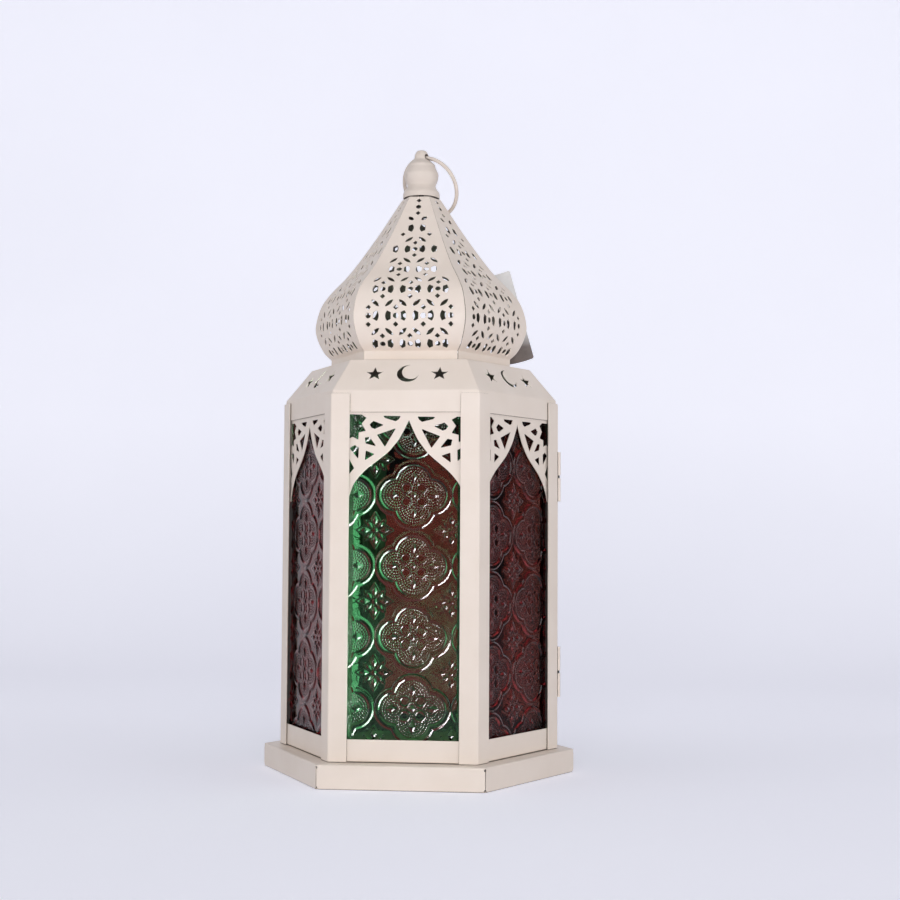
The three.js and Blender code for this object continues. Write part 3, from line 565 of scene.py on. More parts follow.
def paint_material(name, shade, crevice, dark_inside):
    """Satin cream powder paint: faint mottling, uneven gloss, a fine orange peel, and painted shade in
    crevices narrower than a width in metres. The sheets' inner sides may be darker, with painted shade on
    faces that look down and on the tray lip's top."""
    material, tree, shader = node_material(name)
    stops = [(position, tuple(shade * part for part in tone)) for position, tone in CREAM]
    colour = ramp(noise(tree, 34.0, 4.0), stops)
    # Painted shade: the cream turns to a dark tone where ambient occlusion finds a crevice
    near = add(tree, "AmbientOcclusion", {"Distance": crevice}, samples=6).outputs["AO"]
    colour = blend(rise(near, *CREVICE_SHADE_SPAN), tones(noise(tree, 120.0), *CREVICE_SHADE), colour)
    # Inner sides turn darker; faces that look straight down and the tray lip's top take these dark tones as
    # painted shade
    if dark_inside:
        colour = blend(facing_in(tree), colour, tones(noise(tree, 60.0, 4.0), *DARK_INSIDE_AND_SHADE))
    gloss = spread(noise(tree, 90.0), 0.36, 0.48)
    feed(shader, {"Base Color": colour, "Roughness": gloss, "Specular IOR Level": 0.5})
    add_bump(shader, noise(tree, 900.0, 2.0), 0.12, 0.0002)
    return material


def steel_material():
    """Dull steel with drawn streaks."""
    material, tree, shader = node_material("bare_steel")
    streaks = noise(tree, 60.0, 4.0, (1, 1, 0.06))
    colour = tones(streaks, (0.085, 0.080, 0.075), (0.16, 0.15, 0.14))
    feed(shader, {"Base Color": colour, "Roughness": spread(streaks, 0.32, 0.5), "Metallic": 0.6})
    add_bump(shader, streaks, 0.1, 0.0002)
    return material


def beads(tree):
    """Rows of beads that follow the edges of the lobes, where a pane's own map lets them show."""
    pattern = split(add(tree, "UVMap", uv_map="pattern").outputs["UV"])
    u = calc("WRAP", pattern["X"], CELL_WIDTH / 2, -CELL_WIDTH / 2)
    v = calc("WRAP", pattern["Y"], CELL_HEIGHT / 2, -CELL_HEIGHT / 2)
    found = []
    for across, up, radius, _ in LOBES:
        p = calc("SUBTRACT", calc("ABSOLUTE", u), across) if across else u
        q = calc("SUBTRACT", calc("ABSOLUTE", v), up) if up else v
        away = calc("SQRT", calc("ADD", calc("MULTIPLY", p, p), calc("MULTIPLY", q, q)))
        depth = calc("SUBTRACT", radius, away)
        row = calc("ROUND", calc("DIVIDE", depth, BEAD_ROW))
        row_radius = calc("SUBTRACT", radius, calc("MULTIPLY", row, BEAD_ROW))
        count = calc("ROUND", calc("MULTIPLY", row_radius, 2 * pi / BEAD_PITCH))
        turns = calc("MULTIPLY", calc("ARCTAN2", q, p), calc("MULTIPLY", count, 0.5))
        wave = calc("COSINE", calc("MULTIPLY", depth, pi / BEAD_ROW))
        grain = calc("MULTIPLY", wave, calc("COSINE", turns))
        found.append((depth, calc("POWER", calc("ABSOLUTE", grain), 3.0)))
    (first_depth, first), (second_depth, second) = found
    nearer = calc("GREATER_THAN", first_depth, second_depth)
    chosen = calc("MULTIPLY_ADD", nearer, calc("SUBTRACT", first, second), second)
    return calc("MULTIPLY", chosen, add(tree, "Attribute", attribute_name="beaded").outputs["Fac"])


def glass_material(name, deep, light, shadow):
    """Rolled coloured glass: slight streaks of colour and the soft waves of the roller."""
    material, tree, shader = node_material(name)
    colour = tones(noise(tree, 45.0, 2.0), deep, light)
    feed(shader, {"Base Color": colour, "Transmission Weight": 1.0, "IOR": 1.5, "Roughness": 0.015})
    add_bump(shader, noise(tree, 260.0, 2.0), 0.08, 0.0002)
    add_bump(shader, beads(tree), 1.0, BEAD_RISE * MM)
    shaded = add(tree, "LightPath").outputs["Is Shadow Ray"]
    clear = add(tree, "BsdfTransparent", {"Color": (*shadow, 1)}).outputs[0]
    feed(tree.nodes["Material Output"], {"Surface": mix_shader(shaded, shader.outputs[0], clear)})
    return material


def card_material():
    """Coated card with a paper tooth, pale above and brown below, where the brown is painted shade."""
    material, tree, shader = node_material("tag_card")
    tooth = noise(tree, 160.0, 5.0)
    pale = tones(tooth, (0.72, 0.70, 0.68), (0.80, 0.78, 0.76))
    shade_brown = tones(tooth, (0.17, 0.14, 0.125), (0.25, 0.21, 0.19))
    height = split(add(tree, "TexCoord").outputs["Object"])["Z"]
    colour = blend(rise(height, *TAG_SHADE_HEIGHTS), shade_brown, pale)
    feed(shader, {"Base Color": colour, "Roughness": spread(noise(tree, 300.0), 0.5, 0.65)})
    add_bump(shader, noise(tree, 1800.0, 3.0), 0.15, 0.0001)
    return material


def thread_material():
    """Clear nylon with faint ripples."""
    material, tree, shader = node_material("tag_thread")
    colour = tones(noise(tree, 200.0), (0.86, 0.86, 0.88), (0.94, 0.94, 0.95))
    feed(shader, {"Base Color": colour, "Roughness": spread(noise(tree, 400.0), 0.12, 0.25)})
    feed(shader, {"Transmission Weight": 0.8, "IOR": 1.53})
    return material


PAINT = paint_material("cream_paint", 1.0, 0.0011, True)
# Solid pieces: the same cream made 10 % darker as painted shade, with wider painted crevice shade
SHADED_SOLID_PAINT = paint_material("cream_paint_solid", 0.90, 0.0035, False)
STEEL = steel_material()
GREEN = glass_material("green_glass", (0.29, 0.69, 0.37), (0.37, 0.78, 0.46), (0.2, 0.55, 0.28))
RED = glass_material("red_glass", (0.24, 0.020, 0.022), (0.33, 0.030, 0.032), (0.16, 0.004, 0.008))
CARD = card_material()
THREAD = thread_material()

# Flat geometry


def rounded(points, radius, steps=4, closed=True):
    """A polyline with rounded corners. radius is one number, or one for each point."""
    count = len(points)
    radii = [radius] * count if np.isscalar(radius) else radius
    result = []
    for i, point in enumerate(points):
        here = np.array(point, float)
        if radii[i] == 0 or (not closed and i in (0, count - 1)):
            result.append(tuple(here))
            continue
        before = np.array(points[i - 1], float) - here
        after = np.array(points[(i + 1) % count], float) - here
        before_length = np.linalg.norm(before)
        after_length = np.linalg.norm(after)
        before /= before_length
        after /= after_length
        half = acos(np.clip(before @ after, -1, 1)) / 2
        if pi / 2 - half < 0.02:
            result.append(tuple(here))
            continue
        reach = min(radii[i] / tan(half), 0.45 * before_length, 0.45 * after_length)
        r = reach * tan(half)
        centre = here + (before + after) / np.linalg.norm(before + after) * r / sin(half)
        start = here + before * reach - centre
        turn = (pi - 2 * half) * np.sign(before[1] * after[0] - before[0] * after[1])
        result.extend(turned_points([start], turn * step / steps, centre)[0] for step in range(steps + 1))
    return result


def offset(path, distance):
    """An open polyline pushed to its left by a distance, with mitred corners."""
    points = np.array(path, float)
    before = points - np.roll(points, 1, 0)
    after = np.roll(points, -1, 0) - points
    before[0] = after[0]
    after[-1] = before[-1]
    before /= np.linalg.norm(before, axis=1)[:, None]
    after /= np.linalg.norm(after, axis=1)[:, None]
    mitre = np.stack([-before[:, 1] - after[:, 1], before[:, 0] + after[:, 0]], 1)
    mitre /= (np.linalg.norm(mitre, axis=1) ** 2 / 2)[:, None]
    return points + mitre * distance


def spline(points, steps):
    """A smooth curve through points, with a number of steps between each two."""
    p = np.array([2 * np.array(points[0]) - points[1], *points, 2 * np.array(points[-1]) - points[-2]], float)
    result = []
    for i in range(1, len(p) - 2):
        for step in range(steps):
            t = step / steps
            slope = (p[i + 1] - p[i - 1]) * t
            bend = (2 * p[i - 1] - 5 * p[i] + 4 * p[i + 1] - p[i + 2]) * t * t
            twist = (3 * p[i] - p[i - 1] - 3 * p[i + 1] + p[i + 2]) * t ** 3
            result.append(0.5 * (2 * p[i] + slope + bend + twist))
    result.append(p[-2])
    return [tuple(q) for q in result]


def arc(cx, cy, radius, first, last, steps):
    """Points on an arc, from one angle to another."""
    angles = [first + (last - first) * step / steps for step in range(steps + 1)]
    return [(cx + radius * cos(a), cy + radius * sin(a)) for a in angles]


def circle(cx, cy, radius, count):
    return arc(cx, cy, radius, 0, 2 * pi, count)[:-1]


def oblong(x0, y0, x1, y1):
    return [(x0, y0), (x1, y0), (x1, y1), (x0, y1)]


def both_sides(right):
    """A closed outline from its right half, which runs upwards."""
    return right + [(-x, y) for x, y in reversed(right)]


def level_lines(heights, half):
    """Lines across a sheet, each reaching half its length to both sides of the middle."""
    return [[(-half, y), (half, y)] for y in heights]


def bow(length, rise, steps):
    """An arc over a level chord, from the chord's right end to its left."""
    half = length / 2
    radius = (half ** 2 + rise ** 2) / (2 * rise)
    reach = asin(half / radius)
    angles = [reach * (1 - 2 * step / steps) for step in range(steps + 1)]
    return [(radius * sin(a), radius * cos(a) - radius + rise) for a in angles]


def turned_points(points, angle, centre=(0, 0)):
    """Flat points turned about the origin and then moved to a centre."""
    c = cos(angle)
    s = sin(angle)
    return [(centre[0] + x * c - y * s, centre[1] + x * s + y * c) for x, y in points]


def inside(loop, points):
    """Which points lie inside a closed loop."""
    loop = np.array(loop, float)
    x = points[:, 0]
    y = points[:, 1]
    result = np.zeros(len(points), bool)
    box = (x > loop[:, 0].min()) & (x < loop[:, 0].max()) & (y > loop[:, 1].min()) & (y < loop[:, 1].max())
    near = np.flatnonzero(box)
    for (ax, ay), (bx, by) in zip(loop, np.roll(loop, -1, 0)):
        if ay != by:
            crosses = (ay > y[near]) != (by > y[near])
            result[near] ^= crosses & (x[near] < ax + (y[near] - ay) * (bx - ax) / (by - ay))
    return result


def clear_of(loops, points, distance):
    """The points that lie further than a distance from every edge of the loops."""
    points = np.array(points, float)
    keep = np.ones(len(points), bool)
    for loop in loops:
        a = np.array(loop, float)
        b = np.roll(a, -1, 0)
        near = (points[:, None, :] > a.min(0) - distance) & (points[:, None, :] < a.max(0) + distance)
        chosen = np.flatnonzero(near[:, 0].all(1) & keep)
        if len(chosen) == 0:
            continue
        along = b - a
        length = (along ** 2).sum(1)
        off = points[chosen][:, None] - a[None]
        t = np.clip((off * along[None]).sum(2) / length, 0, 1)
        gap = np.linalg.norm(off - t[..., None] * along[None], axis=2).min(1)
        keep[chosen[gap < distance]] = False
    return points[keep]


def pierced(outline, holes=(), lines=(), seeds=()):
    """Points and triangles of a flat sheet with holes. It is split along lines, and has corners at seeds."""
    points = []
    edges = []
    for loop in [outline, *holes]:
        start = len(points)
        points.extend(loop)
        edges.extend((start + i, start + (i + 1) % len(loop)) for i in range(len(loop)))
    for line in lines:
        start = len(points)
        points.extend(line)
        edges.extend((start + i, start + i + 1) for i in range(len(line) - 1))
    if len(seeds) > 0:
        points.extend(clear_of([outline, *holes], seeds, SEED_CLEAR))
    found = delaunay_2d_cdt([Vector(p) for p in points], edges, [], 0, 1e-6)
    flat = np.array([tuple(v) for v in found[0]])
    triangles = np.array([tuple(f) for f in found[2]])
    centres = flat[triangles].mean(1)
    keep = inside(outline, centres)
    for hole in holes:
        keep &= ~inside(hole, centres)
    triangles = triangles[keep]
    a, b, c = (flat[triangles[:, i]] for i in range(3))
    area = (b[:, 0] - a[:, 0]) * (c[:, 1] - a[:, 1]) - (b[:, 1] - a[:, 1]) * (c[:, 0] - a[:, 0])
    triangles = np.where(area[:, None] > 0, triangles, triangles[:, ::-1])
    used, renumbered = np.unique(triangles, return_inverse=True)
    return flat[used], renumbered.reshape(-1, 3)


# Mesh building. A form is a pair of points, in millimetres, and faces.

# A direction that no wire starts along
OBLIQUE = (0.31, 0.52, 0.79)


def shell(triangles, outer, inner, open_edge=None):
    """A sheet with thickness from its two sides' points. Rims close its edges, but for those left open."""
    count = len(outer)
    faces = [tuple(t) for t in triangles] + [tuple(t[::-1] + count) for t in triangles]
    directed = {(t[i], t[(i + 1) % 3]) for t in triangles.tolist() for i in range(3)}
    for a, b in sorted(directed):
        if (b, a) not in directed and not (open_edge is not None and open_edge(a, b)):
            faces.append((b, a, a + count, b + count))
    return np.concatenate([outer, inner]), faces


def joined(*forms):
    """Several forms as one."""
    points = []
    faces = []
    start = 0
    for form_points, form_faces in forms:
        points.append(np.asarray(form_points, float))
        faces.extend(tuple(int(i) + start for i in face) for face in form_faces)
        start += len(form_points)
    return np.concatenate(points), faces


def about_axis(form, degrees):
    """A form turned about the lantern's axis."""
    c = cos(radians(degrees))
    s = sin(radians(degrees))
    x, y, z = np.asarray(form[0], float).T
    return np.stack([x * c - y * s, x * s + y * c, z], 1), form[1]


def moved(form, x, y, z):
    return np.asarray(form[0], float) + (x, y, z), form[1]


def slab(outline, holes, first, second, layout):
    """A solid between two levels of a flat outline. layout makes a point of two places and a level."""
    flat, triangles = pierced(outline, holes)
    sides = [layout(flat[:, 0], flat[:, 1], np.full(len(flat), level)) for level in (first, second)]
    return shell(triangles, *(np.column_stack(side) for side in sides))


def prism(outline, z0, z1, holes=()):
    """An upright solid from z0 to z1 on a flat outline, which runs anticlockwise seen from above."""
    return slab(outline, holes, z1, z0, lambda x, y, z: (x, y, z))


def face_sheet(outline, holes, outer, wall):
    """A sheet in the front face's plane, from [along, up] points. Its outer side lies outer from the axis."""
    return slab(outline, holes, -outer, wall - outer, lambda x, z, y: (x, y, z))


def bar(outline, x0, x1):
    """A solid along the face on an outline of [distance from axis, height] points."""
    return slab(outline, (), x0, x1, lambda out, z, x: (x, -out, z))


def strip_outline(path, wall):
    """The closed outline of a bent strip. path is its right-hand side, and the wall lies to its left."""
    return [tuple(p) for p in path] + [tuple(p) for p in offset(path, wall)[::-1]]


def lathe(profile, segments):
    """A solid turned about the axis. profile leaves the axis, runs up the outside and ends on the axis."""
    points = []
    rows = []
    for r, z in profile:
        steps = 1 if r < 1e-9 else segments
        rows.append([len(points) + i % steps for i in range(segments)])
        points.extend((r * c, r * s, z) for c, s in circle(0, 0, 1, segments)[:steps])
    faces = []
    for lower, upper in zip(rows, rows[1:]):
        for i in range(segments):
            j = (i + 1) % segments
            face = tuple(dict.fromkeys([lower[i], lower[j], upper[j], upper[i]]))
            if len(face) > 2:
                faces.append(face)
    return np.array(points), faces


def skin(rings, steps, closed):
    """Faces between rings of points. The last ring meets the first, or the two ends are flat."""
    faces = []
    for ring in range(rings if closed else rings - 1):
        low = ring * steps
        high = (ring + 1) % rings * steps
        for i in range(steps):
            j = (i + 1) % steps
            faces.append((low + i, low + j, high + j, high + i))
    if not closed:
        faces += [tuple(range(steps))[::-1], tuple(range((rings - 1) * steps, rings * steps))]
    return faces


def tube(path, radius, sides):
    """A round wire along a closed path of points."""
    path = np.array([tuple(p) for p in path], float)
    ahead = np.roll(path, -1, 0) - np.roll(path, 1, 0)
    ahead /= np.linalg.norm(ahead, axis=1)[:, None]
    side = np.cross(ahead[0], OBLIQUE)
    points = []
    for here, forward in zip(path, ahead):
        side = side - forward * (side @ forward)
        side /= np.linalg.norm(side)
        up = np.cross(forward, side)
        points.extend(here + radius * (c * side + s * up) for c, s in circle(0, 0, 1, sides))
    return np.array(points), skin(len(path), sides, True)


def new_mesh(name, form):
    mesh = bpy.data.meshes.new(name)
    mesh.from_pydata((np.asarray(form[0]) * MM).tolist(), [], [tuple(int(i) for i in f) for f in form[1]])
    return mesh


def new_object(name, mesh):
    piece = bpy.data.objects.new(name, mesh)
    bpy.context.scene.collection.objects.link(piece)
    return piece


def soften(piece, width, segments=2, angle=38):
    """Rounds the edges of a piece that are sharper than an angle in degrees."""
    edges = piece.modifiers.new("edges", "BEVEL")
    edges.width = width * MM
    edges.segments = segments
    edges.limit_method = "ANGLE"
    edges.angle_limit = radians(angle)
    edges.use_clamp_overlap = False
    piece.modifiers.new("normals", "WEIGHTED_NORMAL").weight = 90


def make(node, form, material, body="root", turn=0, bevel=0.0, segments=2, weld=0.0):
    """The visible piece of a CAD node, from a form that is turned about the axis by some degrees."""
    mesh = new_mesh(node + "_detail", about_axis(form, turn))
    if weld > 0:
        merge = bmesh.new()
        merge.from_mesh(mesh)
        bmesh.ops.remove_doubles(merge, verts=merge.verts, dist=weld * MM)
        merge.to_mesh(mesh)
        merge.free()
    mesh.validate()
    mesh.shade_smooth()
    mesh.materials.append(material)
    piece = new_object(node + "_detail", mesh)
    if bevel > 0:
        soften(piece, bevel, segments)
    else:
        mesh.set_sharp_from_angle(angle=radians(60))
    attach(piece, body)
    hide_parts(node)
    return piece


class Fold:
    """A profile of [distance from axis, height] points that a flat side is folded along."""

    def __init__(self, path, wall):
        self.outer = np.array(path, float)
        self.inner = offset(self.outer, wall)
        steps = np.linalg.norm(np.diff(self.outer, axis=0), axis=1)
        self.along = np.concatenate([[0], np.cumsum(steps)])
        self.length = self.along[-1]

    def at(self, along, side="outer"):
        points = getattr(self, side)
        return np.stack([np.interp(along, self.along, points[:, i]) for i in range(2)], -1)

    def half(self, along):
        """Half of the outer side's width at a distance along the profile."""
        return self.at(along)[..., 0] * TAN

    def place(self, flat, corner=0.0):
        """Outer and inner points of flat [across, along] points on the front side. The edge between two
        sides is rounded to a corner radius."""
        results = []
        outer_half = np.maximum(self.half(flat[:, 1]), 1e-6)
        share = np.clip(flat[:, 0] / outer_half, -1, 1)
        for side in ("outer", "inner"):
            point = self.at(flat[:, 1], side)
            half = point[:, 0] * TAN
            across = share * half
            depth = point[:, 0].copy()
            if corner > 0:
                reach = np.minimum(corner * TAN, half)
                near = np.abs(across) > half - reach
                t = np.clip((np.abs(across) - (half - reach)) / np.maximum(reach, 1e-6), 0, 1) * pi / 6
                radius = reach / TAN
                bent = np.sign(across) * (half - reach + radius * np.sin(t))
                across = np.where(near, bent, across)
                depth = np.where(near, depth - radius * (1 - np.cos(t)), depth)
            results.append(np.stack([across, -depth, point[:, 1]], 1))
        return results


def folded_ring(fold, side_edge, holes, corner=0.0):
    """A whole six-sided folded sheet. side_edge is a side's right edge as [across, along] points."""
    outline = both_sides(side_edge)
    outline = [p for i, p in enumerate(outline) if dist(p, outline[i - 1]) > 1e-6]
    lines = level_lines(fold.along[1:-1], fold.half(fold.along).max() + 1)
    for step in range(1, 4) if corner > 0 else []:
        inset = corner * TAN * step / 3
        for sign in (-1, 1):
            lines.append([(sign * max(fold.half(y) - inset, 0), y) for y in fold.along])
    flat, triangles = pierced(outline, holes, lines)
    outer, inner = fold.place(flat, corner)
    mitred = np.abs(np.abs(flat[:, 0]) - fold.half(flat[:, 1])) < 1e-4
    form = shell(triangles, outer, inner, lambda a, b: mitred[a] and mitred[b])
    return joined(*(about_axis(form, SIDE_TURN * side) for side in range(SIDES)))


# Base tray: top, six skirts with open slits at the corners, and the lip that it stands on


def base_tray():
    out = BASE_RADIUS * COS
    path = [(out - BASE_LIP, 0), (out, 0), (out, BASE_HEIGHT), (0, BASE_HEIGHT)]
    fold = Fold(rounded(path, [0, FOOT_BEND, BASE_BEND, 0], closed=False), BASE_WALL)
    upright = np.interp(SLIT_TOP, fold.outer[:-2, 1], fold.along[:-2])
    half = fold.half(upright)
    edge = []
    for along in fold.along[fold.along < upright - 2]:
        height = fold.at(along)[1]
        notch = NOTCH_WIDTH * max(0, 1 - height / NOTCH_HEIGHT) if along > BASE_LIP - BASE_WALL else 0
        edge.append((fold.half(along) - BASE_SLIT - notch, along))
    foot = fold.along[1] + NOTCH_HEIGHT
    edge.append((fold.half(foot) - BASE_SLIT, foot))
    first = asin(BASE_SLIT / RELIEF_RADIUS)
    for step in range(9):
        a = first + (pi - first) * step / 8
        edge.append((half - RELIEF_RADIUS * sin(a), upright - RELIEF_RADIUS * cos(a)))
    edge += [(fold.half(s), s) for s in fold.along if s > upright + RELIEF_RADIUS]
    edge.sort(key=lambda p: p[1])
    return folded_ring(fold, edge, [])


make("base_tray", base_tray(), PAINT, bevel=0.22, weld=0.002)

# Corner posts: bent strips, drawn at the corner on +X


def corner_post(leg_before, leg_after):
    def leg_end(leg, side):
        return (BODY_RADIUS - 0.5 * leg, side * leg * sqrt(3) / 2)

    path = [leg_end(leg_before, -1), (BODY_RADIUS, 0), leg_end(leg_after, 1)]
    path = rounded(path, POST_BEND, 6, closed=False)
    return prism(strip_outline(path, POST_WALL), BASE_HEIGHT + GAP, POST_TOP)


for index, corner in enumerate(CORNERS):
    leg_before = DOOR_POST_LEG if index == DOOR else POST_LEG
    leg_after = DOOR_POST_LEG if index == DOOR - 1 else POST_LEG
    post = corner_post(leg_before, leg_after)
    make(f"corner_post_{corner}", post, PAINT, turn=SIDE_TURN * (index - 1), bevel=0.18)

# Bottom rails: an upright strip with a foot folded in over the base


def bottom_rail():
    foot = RAIL_OUT - RAIL_FOOT
    bottom = BASE_HEIGHT + GAP
    path = [(foot, bottom), (RAIL_OUT, bottom), (RAIL_OUT, BASE_HEIGHT + RAIL_HEIGHT)]
    fold = Fold(rounded(path, RAIL_BEND, closed=False), RAIL_WALL)
    wide = (RAIL_OUT - RAIL_WALL) * TAN - 2
    narrow = foot * TAN - 1
    bend = fold.along[-2]
    right = [(narrow, 0), (narrow, bend - 1.5), (wide, bend + 0.5), (wide, fold.length)]
    flat, triangles = pierced(both_sides(right), [], level_lines(fold.along[1:-1], wide + 1))
    points = [fold.at(flat[:, 1], side) for side in ("outer", "inner")]
    return shell(triangles, *(np.column_stack([flat[:, 0], -p[:, 0], p[:, 1]]) for p in points))


# Arch fretwork: the left half of the arch's edge and the left holes, as points from the apex

ARCH_EDGE = [
    (-39.4, -48.8), (-36.6, -43.8), (-30.5, -36.8), (-22.7, -30.3), (-18.3, -26.8), (-13.9, -22.8),
    (-9.75, -17.8), (-6.7, -13.6), (-3.55, -7.6), (-1.55, -3.4), (0, 0),
]
SPANDREL_HOLES = [
    [(-43.2, 3.2), (-34.3, 3.2), (-30.7, 0.9), (-34.0, -3.4), (-30.9, -8.5),
     (-36.0, -9.7), (-36.2, -15.1), (-40.3, -13.0), (-43.2, -14.6)],
    [(-28.4, -3.8), (-25.7, -1.2), (-18.0, -3.9), (-24.5, -7.0), (-26.9, -6.1)],
    [(-19.0, 2.7), (-6.0, 2.7), (-7.3, 0.4), (-9.5, -1.1), (-17.5, 1.1)],
    [(-22.9, -11.1), (-9.1, -6.0), (-16.8, -19.7)],
    [(-31.6, -13.3), (-28.0, -12.8), (-23.0, -19.4), (-30.8, -17.5)],
    [(-42.3, -21.2), (-38.6, -18.8), (-35.5, -20.7), (-35.8, -28.9)],
    [(-30.5, -22.6), (-24.0, -25.0), (-31.0, -29.7)],
    [(-43.2, -27.4), (-38.5, -35.5), (-43.2, -41.3)],
]


def arch_fretwork(outer, shift=0.0, turn=0.0):
    """A pierced sheet over a pointed arch, which may sit off centre and be turned about its apex."""
    def place(points):
        return turned_points(points, turn, (shift, ARCH_APEX))

    def mirrored(points):
        return [(-x, z) for x, z in points]

    edge = spline(ARCH_EDGE, 4)
    left = place(edge)
    right = place(mirrored(edge[:-1]))[::-1]
    outline = [(-FRET_HALF, FRET_FOOT), (left[0][0] - FOOT_SPREAD, FRET_FOOT), *left]
    outline += [*right, (right[-1][0] + FOOT_SPREAD, FRET_FOOT), (FRET_HALF, FRET_FOOT)]
    outline += [(FRET_HALF, GLASS_TOP), (-FRET_HALF, GLASS_TOP)]
    holes = [rounded(hole, 0.35, 2) for hole in SPANDREL_HOLES]
    holes += [mirrored(hole) for hole in holes]
    return face_sheet(outline, [place(hole) for hole in holes], outer, FRET_WALL)


# Rolled glass with a raised pattern of quatrefoils, and rosettes in the spaces between them

PATTERN_PLACES = {
    "front": (6.2, 156.6),
    "right": (24.4, 178.6),
    "left": (44.5, 178.7),
    "back_right": (6.2, 168.0),
    "back": (-12.0, 160.0),
    "back_left": (20.0, 150.0),
}


def ridge(distance, width):
    return np.exp(-(distance / width) ** 2)


def peak(distance, steep=1.5):
    """A shape with a flat top, from 1 around its middle down to 0 at a distance of 1."""
    return np.clip(steep - steep * distance, 0, 1)


def fade(value, start, width):
    """0 up to a start, and 1 from a width beyond it."""
    return np.clip((value - start) / width, 0, 1)


def relief(x, z, place):
    """Height of the rolled pattern at points of a pane, from 0 to about 1, and how far its beads show."""
    u = (x - place[0] + CELL_WIDTH / 2) % CELL_WIDTH - CELL_WIDTH / 2
    v = (z - place[1] + CELL_HEIGHT / 2) % CELL_HEIGHT - CELL_HEIGHT / 2
    height = np.zeros_like(u)
    rim = np.full_like(u, 99.0)
    calm = np.ones_like(u)
    for across, up, radius, reach in LOBES:
        p = np.abs(u) - across if across else u
        q = np.abs(v) - up if up else v
        rim = np.minimum(rim, np.hypot(p, q) - radius)
        along, wide = (np.abs(v), u) if up else (np.abs(u), v)
        leaf = np.abs(along - reach) / LEAF_SIZE[0] + np.abs(wide) / LEAF_SIZE[1]
        height = np.maximum(height, 0.95 * peak(leaf, 1.55))
        calm *= fade(leaf, 1.0, 0.25)
    loop = np.hypot(np.abs(u) - LOOP_PLACE[0], np.abs(v) - LOOP_PLACE[1])
    height = np.maximum(height, 0.6 * ridge(loop - LOOP_RADIUS, 0.5))
    calm *= fade(loop, LOOP_RADIUS + 0.4, 0.5)
    stud = np.abs(u) + np.abs(v)
    height = np.maximum(height, 0.9 * peak(stud / STUD_HALF))
    calm *= fade(stud, STUD_HALF, 0.5)
    beaded = calm * fade(-rim, 1.0, 0.5) * (height < 0.1)
    band = np.clip((BAND_WIDTH / 2 + 0.5 - np.abs(rim - BAND_WIDTH / 2)) / BAND_EDGE, 0, 1)
    height = np.maximum(height, band * (1 - 0.15 * ridge(rim - BAND_WIDTH / 2, 0.8)))
    du = CELL_WIDTH / 2 - np.abs(u)
    dv = CELL_HEIGHT / 2 - np.abs(v)
    away = np.hypot(du, dv)
    turn = np.arctan2(dv, du)
    petal = np.zeros_like(u)
    for first, length in ROSETTE_LEAVES:
        near = (turn - first + pi / 4) % (pi / 2) - pi / 4
        along = away * np.cos(near)
        wide = away * np.sin(near)
        leaf = np.abs(along - 0.62 * length) / (0.40 * length) + np.abs(wide) / (0.22 * length)
        petal = np.maximum(petal, 0.9 * peak(leaf))
        petal = np.maximum(petal, 0.4 * ridge(leaf - 1.25, 0.16))
    petal = np.maximum(petal, 0.8 * np.sqrt(np.clip(1 - (away / ROSETTE_KNOB) ** 2, 0, 1)))
    return np.where(rim > ROSETTE_FROM, np.maximum(height, petal), height), beaded


def glass_pane(half, top, outer, place):
    """A pane with the pattern pressed into its front, and a flat back."""
    columns = round(2 * half / GLASS_STEP) + 1
    rows = round((top - GLASS_BOTTOM) / GLASS_STEP) + 1
    x, z = np.meshgrid(np.linspace(-half, half, columns), np.linspace(GLASS_BOTTOM, top, rows))
    y = -outer + RELIEF_DEPTH * (1 - relief(x, z, place)[0])
    front = np.stack([x, y, z], -1).reshape(-1, 3)
    back = [(x, GLASS_WALL - outer, z) for x, z in oblong(-half, GLASS_BOTTOM, half, top)]
    grid = np.arange(rows * columns).reshape(rows, columns)
    faces = np.stack([grid[:-1, :-1], grid[:-1, 1:], grid[1:, 1:], grid[1:, :-1]], -1).reshape(-1, 4).tolist()
    start = len(front)
    for side, edge in enumerate((grid[0], grid[:, -1], grid[-1, ::-1], grid[::-1, 0])):
        faces.append((*edge[::-1], start + side, start + (side + 1) % 4))
    faces.append((start + 3, start + 2, start + 1, start))
    return np.concatenate([front, back]), faces


def map_pattern(piece, degrees, place):
    """Gives a pane the pattern's own coordinates, and marks where its beads show."""
    mesh = piece.data
    points = np.array([vertex.co for vertex in mesh.vertices]) / MM
    a = radians(degrees)
    x = points[:, 0] * cos(a) + points[:, 1] * sin(a)
    beaded = relief(x, points[:, 2], place)[1]
    beaded[-4:] = 0
    mesh.attributes.new("beaded", "FLOAT", "POINT").data.foreach_set("value", beaded)
    corners = np.empty(len(mesh.loops), np.int32)
    mesh.loops.foreach_get("vertex_index", corners)
    flat = np.stack([x - place[0], points[:, 2] - place[1]], 1)[corners]
    mesh.uv_layers.new(name="pattern").data.foreach_set("uv", flat.ravel())


# Glass retainer: a channel strip up both sides and under the pane


